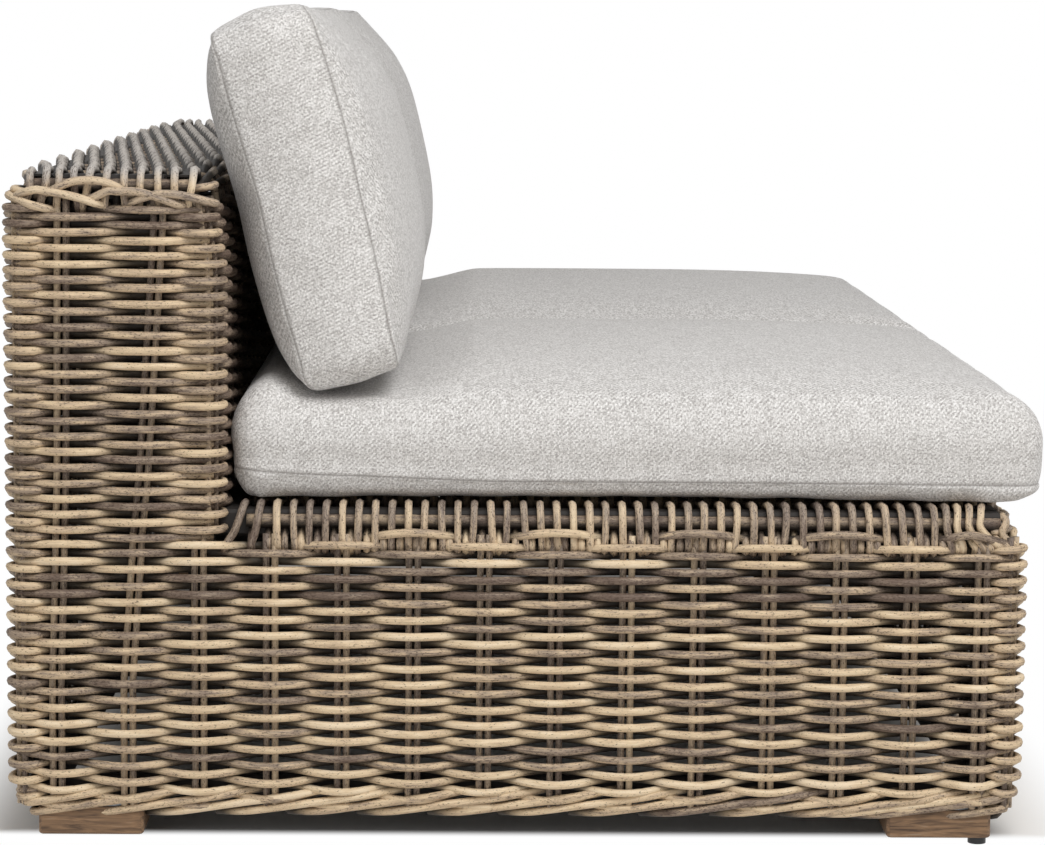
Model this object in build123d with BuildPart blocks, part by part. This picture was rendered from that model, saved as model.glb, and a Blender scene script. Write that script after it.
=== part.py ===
import os
from math import cos, radians, sin, sqrt, tan

from build123d import *

os.makedirs("parts", exist_ok=True)

# Two-seater garden sofa without arms: a tube frame clad in woven round strands, four loose cushions.
# Millimetres, +Z up, the seat faces -Y. The origin is on the floor, in the middle of the sofa's outline.

# Woven body, measured over the strands
width = 1480.0
depth = 952.0
deck_height = 321.0
back_height = 629.0
back_depth = 217.5  # thickness of the back where it meets the seat
back_lean = 3.2  # degrees that the back's front face leans
strand = 8.5
ridge_pitch = 15.2  # two rows of weaving, one over and one under the rods
ridge_depth = 9.0  # how deep the groove between two ridges is
wrap_pitch = 15.2  # strands that lie over a rail, one from the next
stake_pitch = 66.0  # pairs of rods that the strands are woven round
stake_gap = 1.0
roll_radius = 22.0  # outer edges that the weave rolls over
rim_drop = 30.0  # from the deck down to the top row of a side

# Frame of square tube
tube = 25.0
tube_wall = 2.0
tube_corner = 3.0
bearer = 20.0

# Feet
foot_length = 97.0
foot_width = 64.0
foot_thickness = 26.0
foot_corner = 3.0
foot_end_inset = 32.0
foot_side_inset = 12.0
plate_thickness = 3.0
plate_margin = 4.0
bolt_radius = 4.0
bolt_head_radius = 6.5  # to the middle of a flat
bolt_head_height = 5.5
bolt_head_recess = 2.0  # from the block's underside to the head
bolt_head_clearance = 2.5  # round the head, for a socket
insert_radius = 6.0
insert_length = 20.0
glide_height = 8.0
glide_pad_radius = 8.5
glide_stem_radius = 4.0
glide_stem_length = 16.0
glide_clearance = 0.05
front_glide_inset = 17.0  # from the block's outer face
rear_glide_inset = 44.0
glide_end_inset = 10.0  # from the block's outer end

# Cushions
seat_overhang = 14.0  # how far a seat cushion stands out in front of the weave
seat_side_gap = 15.0  # from the weave's side to a seat cushion's side
seat_thickness = 112.0
seat_corner = 38.0
cushion_gap = 4.0  # between a left and a right cushion
cushion_rest = 0.4  # clearance under and behind a cushion
back_side_gap = 30.0
back_cushion_height = 343.0
back_cushion_boxing = 90.0  # width of the side panel between its two seams
back_cushion_lean = 17.2  # degrees
back_cushion_front_crown = 50.0
back_cushion_rear_crown = 26.0
back_cushion_corner = 26.0
back_cushion_stand = 73.0  # from the back's face to the cushion's lower rear edge
back_cushion_floor = 96.3  # from the deck to that edge
side_pull_share = 0.02  # how far a side draws in between its corners, of half its length
seam_depth = 2.0
seam_width = 5.0

wall = 3 * strand  # a strand, a rod and a strand
corner_radius = wall + tube_corner
side_x = width / 2
rear_y = (depth + seat_overhang) / 2
front_y = rear_y - depth
frame_x = side_x - wall
frame_rear_y = rear_y - wall
frame_front_y = front_y + wall

foot_top = glide_height + foot_thickness
base_bottom = foot_top + plate_thickness
base_top = base_bottom + tube
border_bottom = foot_top - strand
border_top = border_bottom + 3 * strand
rim_top = deck_height - rim_drop
seat_rail_top = deck_height - strand
seat_rail_bottom = seat_rail_top - tube
top_rail_top = back_height - strand
top_rail_bottom = top_rail_top - tube
cap_line = back_height - wall
roll_cut = roll_radius * (2 - sqrt(2))  # a flat cut that touches the same round edge

lean_run = tan(radians(back_lean))
lean_wall = wall / cos(radians(back_lean))
lean_tube = tube / cos(radians(back_lean))


def back_face(height):
    """Y of the back's front face at a height."""
    return rear_y - back_depth + (height - deck_height) * lean_run


def save(piece, name):
    piece.part.label = name
    export_step(piece.part, f"parts/{name}.step")


def mirror_piece(piece, name):
    """The same piece for the other side of the sofa."""
    with BuildPart() as twin:
        add(mirror(piece.part, about=Plane.YZ, mode=Mode.PRIVATE))
    save(twin, name)
    return twin


# Frame tubes

def tube_profile(size):
    with BuildSketch() as profile:
        outline = Rectangle(size, size)
        chamfer(outline.vertices(), length=tube_corner)
        Rectangle(size - 2 * tube_wall, size - 2 * tube_wall, mode=Mode.SUBTRACT)
    add(profile.sketch)


def upright(x, y, bottom, top):
    """A square tube standing on its foot at (x, y)."""
    with BuildPart() as post:
        with BuildSketch(Plane((x, y, bottom))):
            tube_profile(tube)
        extrude(amount=top - bottom)
    return post


def cross_tube(y, height, from_x, to_x):
    """A square tube along X, centred on (y, height)."""
    with BuildPart() as rail:
        with BuildSketch(Plane((from_x, y, height), x_dir=(0, 1, 0), z_dir=(1, 0, 0))):
            tube_profile(tube)
        extrude(amount=to_x - from_x)
    return rail


def long_tube(x, height, from_y, to_y, size=tube):
    """A square tube along Y, centred on (x, height)."""
    with BuildPart() as rail:
        with BuildSketch(Plane((x, from_y, height), x_dir=(-1, 0, 0), z_dir=(0, 1, 0))):
            tube_profile(size)
        extrude(amount=to_y - from_y)
    return rail


def leaning_post(x, bottom, top):
    """An inner post of the back: a tube that leans with the back's face, its ends cut level."""
    with BuildPart() as post:
        with BuildSketch(Plane.YZ.offset(x - tube / 2)):
            with BuildLine():
                Polyline(
                    (back_face(bottom) + lean_wall, bottom),
                    (back_face(bottom) + lean_wall + lean_tube, bottom),
                    (back_face(top) + lean_wall + lean_tube, top),
                    (back_face(top) + lean_wall, top),
                    close=True,
                )
            make_face()
        extrude(amount=tube)
        with BuildSketch(Plane.YZ.offset(x - tube / 2 + tube_wall)):
            with BuildLine():
                Polyline(
                    (back_face(bottom) + lean_wall + tube_wall, bottom),
                    (back_face(bottom) + lean_wall + lean_tube - tube_wall, bottom),
                    (back_face(top) + lean_wall + lean_tube - tube_wall, top),
                    (back_face(top) + lean_wall + tube_wall, top),
                    close=True,
                )
            make_face()
        extrude(amount=tube - 2 * tube_wall, mode=Mode.SUBTRACT)
    return post


rail_x = frame_x - tube / 2
inner_x = frame_x - tube
base_middle = base_bottom + tube / 2
seat_rail_middle = seat_rail_bottom + tube / 2
top_rail_middle = top_rail_bottom + tube / 2
post_front_y = back_face(seat_rail_bottom) + lean_wall  # where the rear seat rail meets the inner posts
seat_rear_y = post_front_y - tube
top_front_y = back_face(top_rail_top) + lean_wall

base_rail_left = long_tube(-rail_x, base_middle, frame_front_y + tube_corner, frame_rear_y - tube_corner)
save(base_rail_left, "base_rail_left")
mirror_piece(base_rail_left, "base_rail_right")
base_rail_front = cross_tube(frame_front_y + tube / 2, base_middle, -inner_x, inner_x)
save(base_rail_front, "base_rail_front")
base_rail_rear = cross_tube(frame_rear_y - tube / 2, base_middle, -inner_x, inner_x)
save(base_rail_rear, "base_rail_rear")
base_cross_rail = long_tube(0, base_middle, frame_front_y + tube, frame_rear_y - tube)
save(base_cross_rail, "base_cross_rail")

front_post_left = upright(-rail_x, frame_front_y + tube / 2, base_top, seat_rail_bottom)
save(front_post_left, "front_post_left")
mirror_piece(front_post_left, "front_post_right")
save(upright(0, frame_front_y + tube / 2, base_top, seat_rail_bottom), "front_post_middle")
rear_post_left = upright(-rail_x, frame_rear_y - tube / 2, base_top, top_rail_bottom)
save(rear_post_left, "rear_post_left")
mirror_piece(rear_post_left, "rear_post_right")
save(upright(0, frame_rear_y - tube / 2, base_top, top_rail_bottom), "rear_post_middle")
inner_post_left = leaning_post(-rail_x, base_top, top_rail_bottom)
save(inner_post_left, "inner_post_left")
mirror_piece(inner_post_left, "inner_post_right")
save(leaning_post(0, base_top, top_rail_bottom), "inner_post_middle")

seat_rail_left = long_tube(-rail_x, seat_rail_middle, frame_front_y + tube_corner, post_front_y)
save(seat_rail_left, "seat_rail_left")
mirror_piece(seat_rail_left, "seat_rail_right")
seat_rail_front = cross_tube(frame_front_y + tube / 2, seat_rail_middle, -inner_x, inner_x)
save(seat_rail_front, "seat_rail_front")
seat_rail_rear = cross_tube(seat_rear_y + tube / 2, seat_rail_middle, -inner_x, inner_x)
save(seat_rail_rear, "seat_rail_rear")

bearer_top = seat_rail_top - strand
for place, side in (("left", -1), ("middle", 0), ("right", 1)):
    seat_bearer = long_tube(
        side * width / 4, bearer_top - bearer / 2, frame_front_y + tube, seat_rear_y, bearer
    )
    save(seat_bearer, f"seat_bearer_{place}")

top_rail_x = frame_x - tube_corner
top_rail_rear = cross_tube(frame_rear_y - tube / 2, top_rail_middle, -top_rail_x, top_rail_x)
save(top_rail_rear, "top_rail_rear")
top_rail_front = cross_tube(top_front_y + tube / 2, top_rail_middle, -top_rail_x, top_rail_x)
save(top_rail_front, "top_rail_front")
end_rail_left = long_tube(-rail_x, top_rail_middle, top_front_y + tube, frame_rear_y - tube)
save(end_rail_left, "end_rail_left")
mirror_piece(end_rail_left, "end_rail_right")


# Woven walls. The rows stand out as sharp ridges, as deep as the strands swing.

corner_facets = 3
corner_angles = [radians(90 * facet / corner_facets) for facet in range(corner_facets + 1)]


def ridge_points(bottom, top):
    """Outline of a wall's cross-section, from its inner face (0) out to its ridges (wall)."""
    ridges = max(1, round((top - bottom) / ridge_pitch))
    pitch = (top - bottom) / ridges
    points = [(0, bottom)]
    for ridge in range(ridges):
        foot = bottom + ridge * pitch
        points.extend([(wall - ridge_depth, foot), (wall, foot + pitch / 2)])
    return [*points, (wall - ridge_depth, top)]


def rolled_points(bottom, top):
    """The same for a wall whose outer edge is rolled over at the top."""
    roll = [(wall - roll_radius * (1 - cos(a)), top - roll_radius * (1 - sin(a))) for a in corner_angles]
    return [*ridge_points(bottom, top - roll_radius - ridge_depth), *roll]


def wall_face(points):
    """Cross-section of a wall, closed at its inner face."""
    with BuildLine() as outline:
        Polyline(*points, (0, points[-1][1]), close=True)
    make_face(outline.edges())


def side_plane(y):
    """Cross-section plane of the left side's wall: sketch X points out of the sofa."""
    return Plane((-frame_x, y, 0), x_dir=(-1, 0, 0), z_dir=(0, 1, 0))


corner_x = side_x - corner_radius
front_corner_y = front_y + corner_radius
rear_corner_y = rear_y - corner_radius


def front_corner_plane(angle):
    """Cross-section plane at an angle round the left front corner: sketch X points out of the sofa."""
    out = Vector(-cos(angle), -sin(angle), 0)
    return Plane(Vector(-corner_x, front_corner_y, 0) + out * tube_corner, out, Vector(-sin(angle), cos(angle), 0))


def rear_corner_plane(angle):
    out = Vector(-cos(angle), sin(angle), 0)
    return Plane(Vector(-corner_x, rear_corner_y, 0) + out * tube_corner, out, Vector(sin(angle), cos(angle), 0))


column_rear_y = back_face(cap_line) + roll_radius  # the plain column at the back's front corner ends here

with BuildPart() as weave_left:
    with BuildSketch(side_plane(front_corner_y)):
        wall_face(ridge_points(border_top, rim_top))
    extrude(amount=rear_corner_y - front_corner_y)
    for angle in corner_angles:
        with BuildSketch(rear_corner_plane(angle)):
            wall_face(ridge_points(border_top, rim_top))
    loft(ruled=True)
    for angle in corner_angles:
        with BuildSketch(front_corner_plane(angle)):
            wall_face(rolled_points(border_top, deck_height))
    loft(ruled=True)
save(weave_left, "weave_left")
mirror_piece(weave_left, "weave_right")

with BuildPart() as weave_front:
    with BuildSketch(Plane((-corner_x, frame_front_y, 0), x_dir=(0, -1, 0), z_dir=(-1, 0, 0))):
        wall_face(rolled_points(border_top, deck_height))
    extrude(amount=-2 * corner_x)
save(weave_front, "weave_front")

with BuildPart() as weave_rear:
    with BuildSketch(Plane((-corner_x, frame_rear_y, 0), x_dir=(0, 1, 0), z_dir=(1, 0, 0))):
        wall_face(rolled_points(border_top, back_height))
    extrude(amount=2 * corner_x)
save(weave_rear, "weave_rear")

# The leaning block that the back's front column is cut from, with its edges rolled
with BuildPart() as back_block:
    with BuildSketch(Plane.YZ.offset(-side_x)):
        with BuildLine():
            Polyline(
                (back_face(rim_top), rim_top),
                (rear_y, rim_top),
                (rear_y, back_height),
                (back_face(back_height), back_height),
                close=True,
            )
        make_face()
    extrude(amount=width)
    leaning_face = back_block.faces().sort_by(Axis.Y)[0]
    fillet(leaning_face.edges().filter_by(Axis.X, reverse=True), radius=roll_radius)
    upper_edges = back_block.faces().sort_by(Axis.Z)[-1].edges()
    chamfer(upper_edges.sort_by(Axis.Y)[:-1], length=roll_cut)

with BuildPart() as back_weave_left:
    with BuildSketch(Plane.XY.offset(rim_top)):
        with Locations((-side_x, back_face(rim_top))):
            Rectangle(wall, column_rear_y - back_face(rim_top), align=(Align.MIN, Align.MIN))
    extrude(amount=back_height - rim_top)
    add(back_block.part, mode=Mode.INTERSECT)
    with BuildSketch(side_plane(column_rear_y)):
        wall_face(ridge_points(rim_top, cap_line))
    extrude(amount=rear_corner_y - column_rear_y)
    for angle in corner_angles:
        with BuildSketch(rear_corner_plane(angle)):
            wall_face(rolled_points(rim_top, back_height))
    loft(ruled=True)
save(back_weave_left, "back_weave_left")
mirror_piece(back_weave_left, "back_weave_right")

with BuildPart() as back_weave_front:
    with BuildSketch(Plane.YZ.offset(-frame_x)):
        points = [*rolled_points(seat_rail_top, back_height), (0, back_height)]
        with BuildLine():
            Polyline(*[(back_face(z) + (wall - out) * lean_wall / wall, z) for out, z in points], close=True)
        make_face()
    extrude(amount=2 * frame_x)
save(back_weave_front, "back_weave_front")


# Border: the lowest strands, rolled along the bottom edge and drawn in a little

border_shares = (0.0, 0.28, 0.62)  # how far the border draws in at its top, middle and bottom, of its thickness
border_middle_share = 0.45
border_thickness = foot_side_inset


def border_face():
    """Cross-section of the border, on the same axes as a wall's."""
    middle = border_bottom + border_middle_share * (border_top - border_bottom)
    levels = (border_top, middle, border_bottom)
    outer = [(wall - share * border_thickness, z) for share, z in zip(border_shares, levels)]
    with BuildLine() as outline:
        Polyline(
            (wall - border_thickness, border_bottom), (wall - border_thickness, border_top), *outer, close=True
        )
    make_face(outline.edges())


with BuildPart() as border_left:
    with BuildSketch(side_plane(front_corner_y)):
        border_face()
    extrude(amount=rear_corner_y - front_corner_y)
    for angle in corner_angles:
        with BuildSketch(rear_corner_plane(angle)):
            border_face()
    loft(ruled=True)
    for angle in corner_angles:
        with BuildSketch(front_corner_plane(angle)):
            border_face()
    loft(ruled=True)
save(border_left, "border_left")
mirror_piece(border_left, "border_right")

with BuildPart() as border_front:
    with BuildSketch(Plane((-corner_x, frame_front_y, 0), x_dir=(0, -1, 0), z_dir=(-1, 0, 0))):
        border_face()
    extrude(amount=-2 * corner_x)
save(border_front, "border_front")

with BuildPart() as border_rear:
    with BuildSketch(Plane((-corner_x, frame_rear_y, 0), x_dir=(0, 1, 0), z_dir=(1, 0, 0))):
        border_face()
    extrude(amount=2 * corner_x)
save(border_rear, "border_rear")


# Deck and top of the back: long strands carried over the side rails, on rods that run front to back

strand_sides = 6
wrap_cut = 10.0  # how far before a rail's edge a strand starts to turn down over it
leg_x = side_x - wall / 2


def places(start, end, pitch):
    """Evenly spaced places between two limits, about one pitch apart."""
    count = max(1, round((end - start) / pitch))
    return [start + (end - start) * (place + 0.5) / count for place in range(count)]


def over_strands(start, end, top, foot):
    """Strands along X whose ends turn down to a side wall's top edge."""
    with BuildPart() as strands:
        level = top - strand / 2
        with BuildLine(Plane.XZ.offset(-places(start, end, wrap_pitch)[0])) as route:
            Polyline(
                (-leg_x, foot),
                (-leg_x, level - wrap_cut),
                (-leg_x + wrap_cut, level),
                (leg_x - wrap_cut, level),
                (leg_x, level - wrap_cut),
                (leg_x, foot),
            )
        with BuildSketch(Plane(route.line @ 0, x_dir=(0, 1, 0), z_dir=(0, 0, 1))):
            RegularPolygon(strand / 2, strand_sides, major_radius=False)
        sweep(path=route.line, transition=Transition.RIGHT)
        first = strands.part.solids()[0]
        for y in places(start, end, wrap_pitch)[1:]:
            add(first.translate((0, y - places(start, end, wrap_pitch)[0], 0)))
    return strands


def paired_rods(start, end, top):
    """Pairs of rods along Y, spread over the width between the side rails."""
    with BuildPart() as rods:
        offset = (strand + stake_gap) / 2
        for x in places(-inner_x, inner_x, stake_pitch):
            for side in (-1, 1):
                section = Plane((x + side * offset, start, top - strand / 2), x_dir=(1, 0, 0), z_dir=(0, 1, 0))
                with BuildSketch(section):
                    RegularPolygon(strand / 2, strand_sides, major_radius=False)
                extrude(amount=end - start)
    return rods


deck_rods = paired_rods(frame_front_y + tube, seat_rear_y, seat_rail_top)
save(deck_rods, "deck_rods")
deck_strands = over_strands(front_corner_y, back_face(rim_top), deck_height, rim_top)
save(deck_strands, "deck_strands")
top_rods = paired_rods(top_front_y + tube, frame_rear_y - tube, top_rail_top)
save(top_rods, "top_rods")
top_strands = over_strands(top_front_y, rear_corner_y, back_height, cap_line)
save(top_strands, "top_strands")


# Feet: a block under each corner, bolted from below to a plate under the base frame

def foot_profile(margin=0):
    """Outline of a block, or of a plate that lies inside it by a margin."""
    with BuildSketch() as profile:
        outline = Rectangle(foot_width - 2 * margin, foot_length - 2 * margin)
        chamfer(outline.vertices(), length=foot_corner)
    add(profile.sketch)


def foot_block(middle, glide_place):
    bolt_seat = bolt_head_recess + bolt_head_height
    with BuildPart() as block:
        with BuildSketch(Plane((*middle, glide_height))):
            foot_profile()
        extrude(amount=foot_thickness)
        chamfer(block.faces().sort_by(Axis.Z)[0].edges(), length=foot_corner / 2)
        with Locations(Plane((*middle, glide_height), z_dir=(0, 0, -1))):
            CounterBoreHole(bolt_radius, bolt_head_radius + bolt_head_clearance, bolt_seat)
        with Locations(Plane((*glide_place, glide_height), z_dir=(0, 0, -1))):
            Hole(insert_radius, insert_length)
    return block


def foot_plate(middle):
    with BuildPart() as plate:
        with BuildSketch(Plane((*middle, foot_top))):
            foot_profile(plate_margin)
            Circle(bolt_radius, mode=Mode.SUBTRACT)
        extrude(amount=plate_thickness)
    return plate


def foot_bolt(middle):
    head_bottom = glide_height + bolt_head_recess
    with BuildPart() as bolt:
        with BuildSketch(Plane((*middle, head_bottom))):
            RegularPolygon(bolt_head_radius, 6, major_radius=False)
        extrude(amount=bolt_head_height)
        with BuildSketch(Plane((*middle, head_bottom + bolt_head_height))):
            Circle(bolt_radius)
        extrude(amount=base_bottom - head_bottom - bolt_head_height)
    return bolt


def glide_insert(glide_place):
    """Threaded insert in a block, which the levelling foot's stem turns in."""
    with BuildPart() as insert:
        with BuildSketch(Plane((*glide_place, glide_height))):
            Circle(insert_radius)
            Circle(glide_stem_radius + glide_clearance, mode=Mode.SUBTRACT)
        extrude(amount=insert_length)
    return insert


def levelling_foot(glide_place):
    pad_top = glide_height - glide_clearance
    with BuildPart() as glide:
        with BuildSketch(Plane((*glide_place, 0))):
            Circle(glide_pad_radius)
        extrude(amount=pad_top)
        with BuildSketch(Plane((*glide_place, pad_top))):
            Circle(glide_stem_radius)
        extrude(amount=glide_stem_length)
    return glide


foot_places = (
    ("front", front_y + foot_end_inset, 1, front_glide_inset),
    ("rear", rear_y - foot_end_inset, -1, rear_glide_inset),
)
plates, bolts, inserts = [], [], []
for end_name, end_y, inwards, glide_inset in foot_places:
    middle = (-side_x + foot_side_inset + foot_width / 2, end_y + inwards * foot_length / 2)
    glide_place = (-side_x + foot_side_inset + glide_inset, end_y + inwards * glide_end_inset)
    block = foot_block(middle, glide_place)
    save(block, f"foot_{end_name}_left")
    mirror_piece(block, f"foot_{end_name}_right")
    glide = levelling_foot(glide_place)
    save(glide, f"glide_{end_name}_left")
    mirror_piece(glide, f"glide_{end_name}_right")
    plates.append(foot_plate(middle))
    bolts.append(foot_bolt(middle))
    inserts.append(glide_insert(glide_place))


def gather(pieces, name):
    """One node that holds the same piece of all four feet."""
    with BuildPart() as group:
        for piece in pieces:
            add(piece.part)
            add(mirror(piece.part, about=Plane.YZ, mode=Mode.PRIVATE))
    save(group, name)


gather(plates, "foot_plates")
gather(bolts, "foot_bolts")
gather(inserts, "glide_inserts")


# Cushions: outlines with drawn-in sides, lofted from one face over the seams to the other

def cushion_outline(left, right, low, high, pull_share, corner):
    """A rectangle with cut corners, whose sides draw in between them by a share of half their length."""
    middle_x, middle_y = (left + right) / 2, (low + high) / 2
    bend = corner * (1 - cos(radians(45)))
    pull_x = pull_share * (right - middle_x - corner)
    pull_y = pull_share * (high - middle_y - corner)
    with BuildLine() as outline:
        Polyline(
            (left + corner, low),
            (middle_x, low + pull_x),
            (right - corner, low),
            (right - bend, low + bend),
            (right, low + corner),
            (right - pull_y, middle_y),
            (right, high - corner),
            (right - bend, high - bend),
            (right - corner, high),
            (middle_x, high - pull_x),
            (left + corner, high),
            (left + bend, high - bend),
            (left, high - corner),
            (left + pull_y, middle_y),
            (left, low + corner),
            (left + bend, low + bend),
            close=True,
        )
    make_face(outline.edges())


# Height as a share of the thickness, then how far the outline lies in at the sides, the front and the
# rear, as shares of the crown's inset. The rear lies lower, where the back cushion presses on it.
seat_crown_inset = 170.0
seat_low_shares = (
    (0.0, 0.05, 0.05, 0.05),
    (0.15, 0.0, 0.0, 0.0),
)
seat_seam_share = 0.18
seat_high_shares = (
    (0.21, 0.0, 0.0, 0.0),
    (0.72, 0.0, 0.0, 0.0),
    (0.83, 0.08, 0.06, 0.08),
    (0.917, 0.32, 0.20, 0.80),
    (1.0, 1.0, 0.80, 1.5),
)
seam_inset_share = seam_depth / seat_crown_inset
seat_sections = (*seat_low_shares, (seat_seam_share, *[seam_inset_share] * 3), *seat_high_shares)

seat_left = -side_x + seat_side_gap
seat_right = -cushion_gap / 2
seat_low_y = front_y - seat_overhang
seat_high_y = back_face(deck_height) - cushion_rest
seat_floor = deck_height + cushion_rest

with BuildPart() as seat_cushion_left:
    for height, side, front, rear in seat_sections:
        with BuildSketch(Plane.XY.offset(seat_floor + height * (seat_thickness - cushion_rest))):
            cushion_outline(
                seat_left + side * seat_crown_inset,
                seat_right - side * seat_crown_inset,
                seat_low_y + front * seat_crown_inset,
                seat_high_y - rear * seat_crown_inset,
                side_pull_share,
                seat_corner,
            )
    loft(ruled=True)
save(seat_cushion_left, "seat_cushion_left")
mirror_piece(seat_cushion_left, "seat_cushion_right")

# Depth as a share of the crown, then how far the outline lies in, as a share of the crown's inset
back_crown_inset = 150.0
rear_crown_shares = ((1.0, 0.80), (0.60, 0.28), (0.12, 0.02))
front_crown_shares = ((0.10, 0.02), (0.50, 0.17), (0.84, 0.48), (1.0, 0.88))
back_sections = [
    *[(-share * back_cushion_rear_crown, inset * back_crown_inset) for share, inset in rear_crown_shares],
    (0, seam_depth),
    (seam_width, 0),
    (back_cushion_boxing - seam_width, 0),
    (back_cushion_boxing, seam_depth),
    *[
        (back_cushion_boxing + share * back_cushion_front_crown, inset * back_crown_inset)
        for share, inset in front_crown_shares
    ],
]

# Sketch X runs along the sofa, sketch Y up the cushion's rear seam, and the normal points to the seat's front
lean = radians(back_cushion_lean)
lower_edge = (0, back_face(deck_height) - back_cushion_stand, deck_height + back_cushion_floor)
back_plane = Plane(lower_edge, x_dir=(1, 0, 0), z_dir=(0, -cos(lean), sin(lean)))
back_left = -side_x + back_side_gap
back_right = -cushion_gap / 2

with BuildPart() as back_cushion_left:
    for offset, inset in back_sections:
        with BuildSketch(back_plane.offset(offset)):
            cushion_outline(
                back_left + inset,
                back_right - inset,
                inset,
                back_cushion_height - inset,
                side_pull_share,
                back_cushion_corner,
            )
    loft(ruled=True)
save(back_cushion_left, "back_cushion_left")
mirror_piece(back_cushion_left, "back_cushion_right")
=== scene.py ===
import math

import bmesh
import bpy
import numpy as np
from mathutils import Matrix, Vector


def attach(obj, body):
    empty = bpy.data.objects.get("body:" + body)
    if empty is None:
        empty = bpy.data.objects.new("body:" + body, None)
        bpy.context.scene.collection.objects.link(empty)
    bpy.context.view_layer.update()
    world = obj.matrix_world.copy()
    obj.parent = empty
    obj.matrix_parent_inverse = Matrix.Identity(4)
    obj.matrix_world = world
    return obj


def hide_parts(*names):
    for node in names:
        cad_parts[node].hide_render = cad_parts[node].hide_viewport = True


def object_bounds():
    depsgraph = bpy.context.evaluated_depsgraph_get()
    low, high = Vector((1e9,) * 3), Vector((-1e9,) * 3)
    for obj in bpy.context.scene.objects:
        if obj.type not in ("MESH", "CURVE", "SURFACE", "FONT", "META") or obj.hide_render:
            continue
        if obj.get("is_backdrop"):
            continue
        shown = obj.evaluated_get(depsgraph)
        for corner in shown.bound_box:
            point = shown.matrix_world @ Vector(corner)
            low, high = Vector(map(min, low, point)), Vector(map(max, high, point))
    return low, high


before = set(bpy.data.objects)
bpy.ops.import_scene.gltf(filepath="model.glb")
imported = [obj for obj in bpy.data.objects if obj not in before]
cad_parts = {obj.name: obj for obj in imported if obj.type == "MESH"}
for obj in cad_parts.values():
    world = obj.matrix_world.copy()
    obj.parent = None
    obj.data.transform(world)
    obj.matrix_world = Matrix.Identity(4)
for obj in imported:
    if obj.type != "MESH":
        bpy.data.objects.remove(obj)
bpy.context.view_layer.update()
print("Frame loaded: two-seater garden sofa")

mm = 0.001
rng = np.random.default_rng(7)

# The sofa's own sizes in metres, as the frame has them
sofa = {
    "side": 0.740, "rear": 0.483, "front": -0.469,
    "deckHeight": 0.321, "backHeight": 0.629,
    "backFace": 0.2722, "backTopFace": 0.2811, "leanFrom": 0.54,
    "roll": 0.0285, "halfWall": 0.01275,
}


# Colours and nodes

def toLinear(hexColour):
    channels = [int(hexColour[i:i + 2], 16) / 255 for i in (1, 3, 5)]
    return (*[c / 12.92 if c <= 0.04045 else ((c + 0.055) / 1.055) ** 2.4 for c in channels], 1.0)


def addNode(tree, kind, settings=None, inputs=None):
    node = tree.nodes.new("ShaderNode" + kind)
    for name, value in (settings or {}).items():
        if name == "stops":  # a colour ramp's places and colours
            ramp = node.color_ramp
            while len(ramp.elements) < len(value):
                ramp.elements.new(0.5)
            for element, (place, colour) in zip(ramp.elements, value):
                element.position = place
                element.color = toLinear(colour)
        else:
            setattr(node, name, value)
    for name, value in (inputs or {}).items():
        if isinstance(value, bpy.types.NodeSocket):
            tree.links.new(value, node.inputs[name])
        else:
            node.inputs[name].default_value = value
    return node


def newMaterial(name, **sockets):
    material = bpy.data.materials.new(name)
    material.use_nodes = True
    shader = material.node_tree.nodes["Principled BSDF"]
    for socket, value in sockets.items():
        shader.inputs[socket.replace("_", " ")].default_value = value
    return material, material.node_tree, shader


def finishSurface(tree, shader, colour, height, strength, distance):
    # the surface's colour, and its relief of that strength and depth
    tree.links.new(colour, shader.inputs["Base Color"])
    bump = addNode(tree, "Bump", inputs={"Strength": strength, "Distance": distance, "Height": height})
    tree.links.new(bump.outputs["Normal"], shader.inputs["Normal"])


# Round weathered rattan, skived and bleached by the sun: it gives the eye long fibres, a new tone with each
# new strand, dark specks and a dull, slightly waxy surface
rattan = {
    "tones": [(0.0, "#6a594d"), (0.3, "#938271"), (0.55, "#bfa88b"), (0.8, "#d4bd9b"), (1.0, "#e0ccae")],
    # the recess colour is the painted shade deep in the weave
    "greyed": "#b8b2ab", "fleck": "#43342a", "recessShade": "#120d0a",
    "fibreWidth": 0.6 * mm, "fleckSize": 1.25 * mm, "mottleLength": 24 * mm,
    "mottling": (-0.32, 0.3),      # how far mottling moves a strand's tone
    "fibring": 0.2,                # and how far its fibres do
    "fleckFrom": (0.51, 0.615),    # the noise that makes a speck, on a dark strand and on a pale one
    "fleckShare": 0.8,
    # painted shade between the strands: mm below the outermost strands where it starts and where it is full,
    # and how dark it gets
    "shadeFrom": 5.5, "shadeTo": 16.5, "shadeStrength": 0.93,
    "bump": 0.35 * mm,
}


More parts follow.
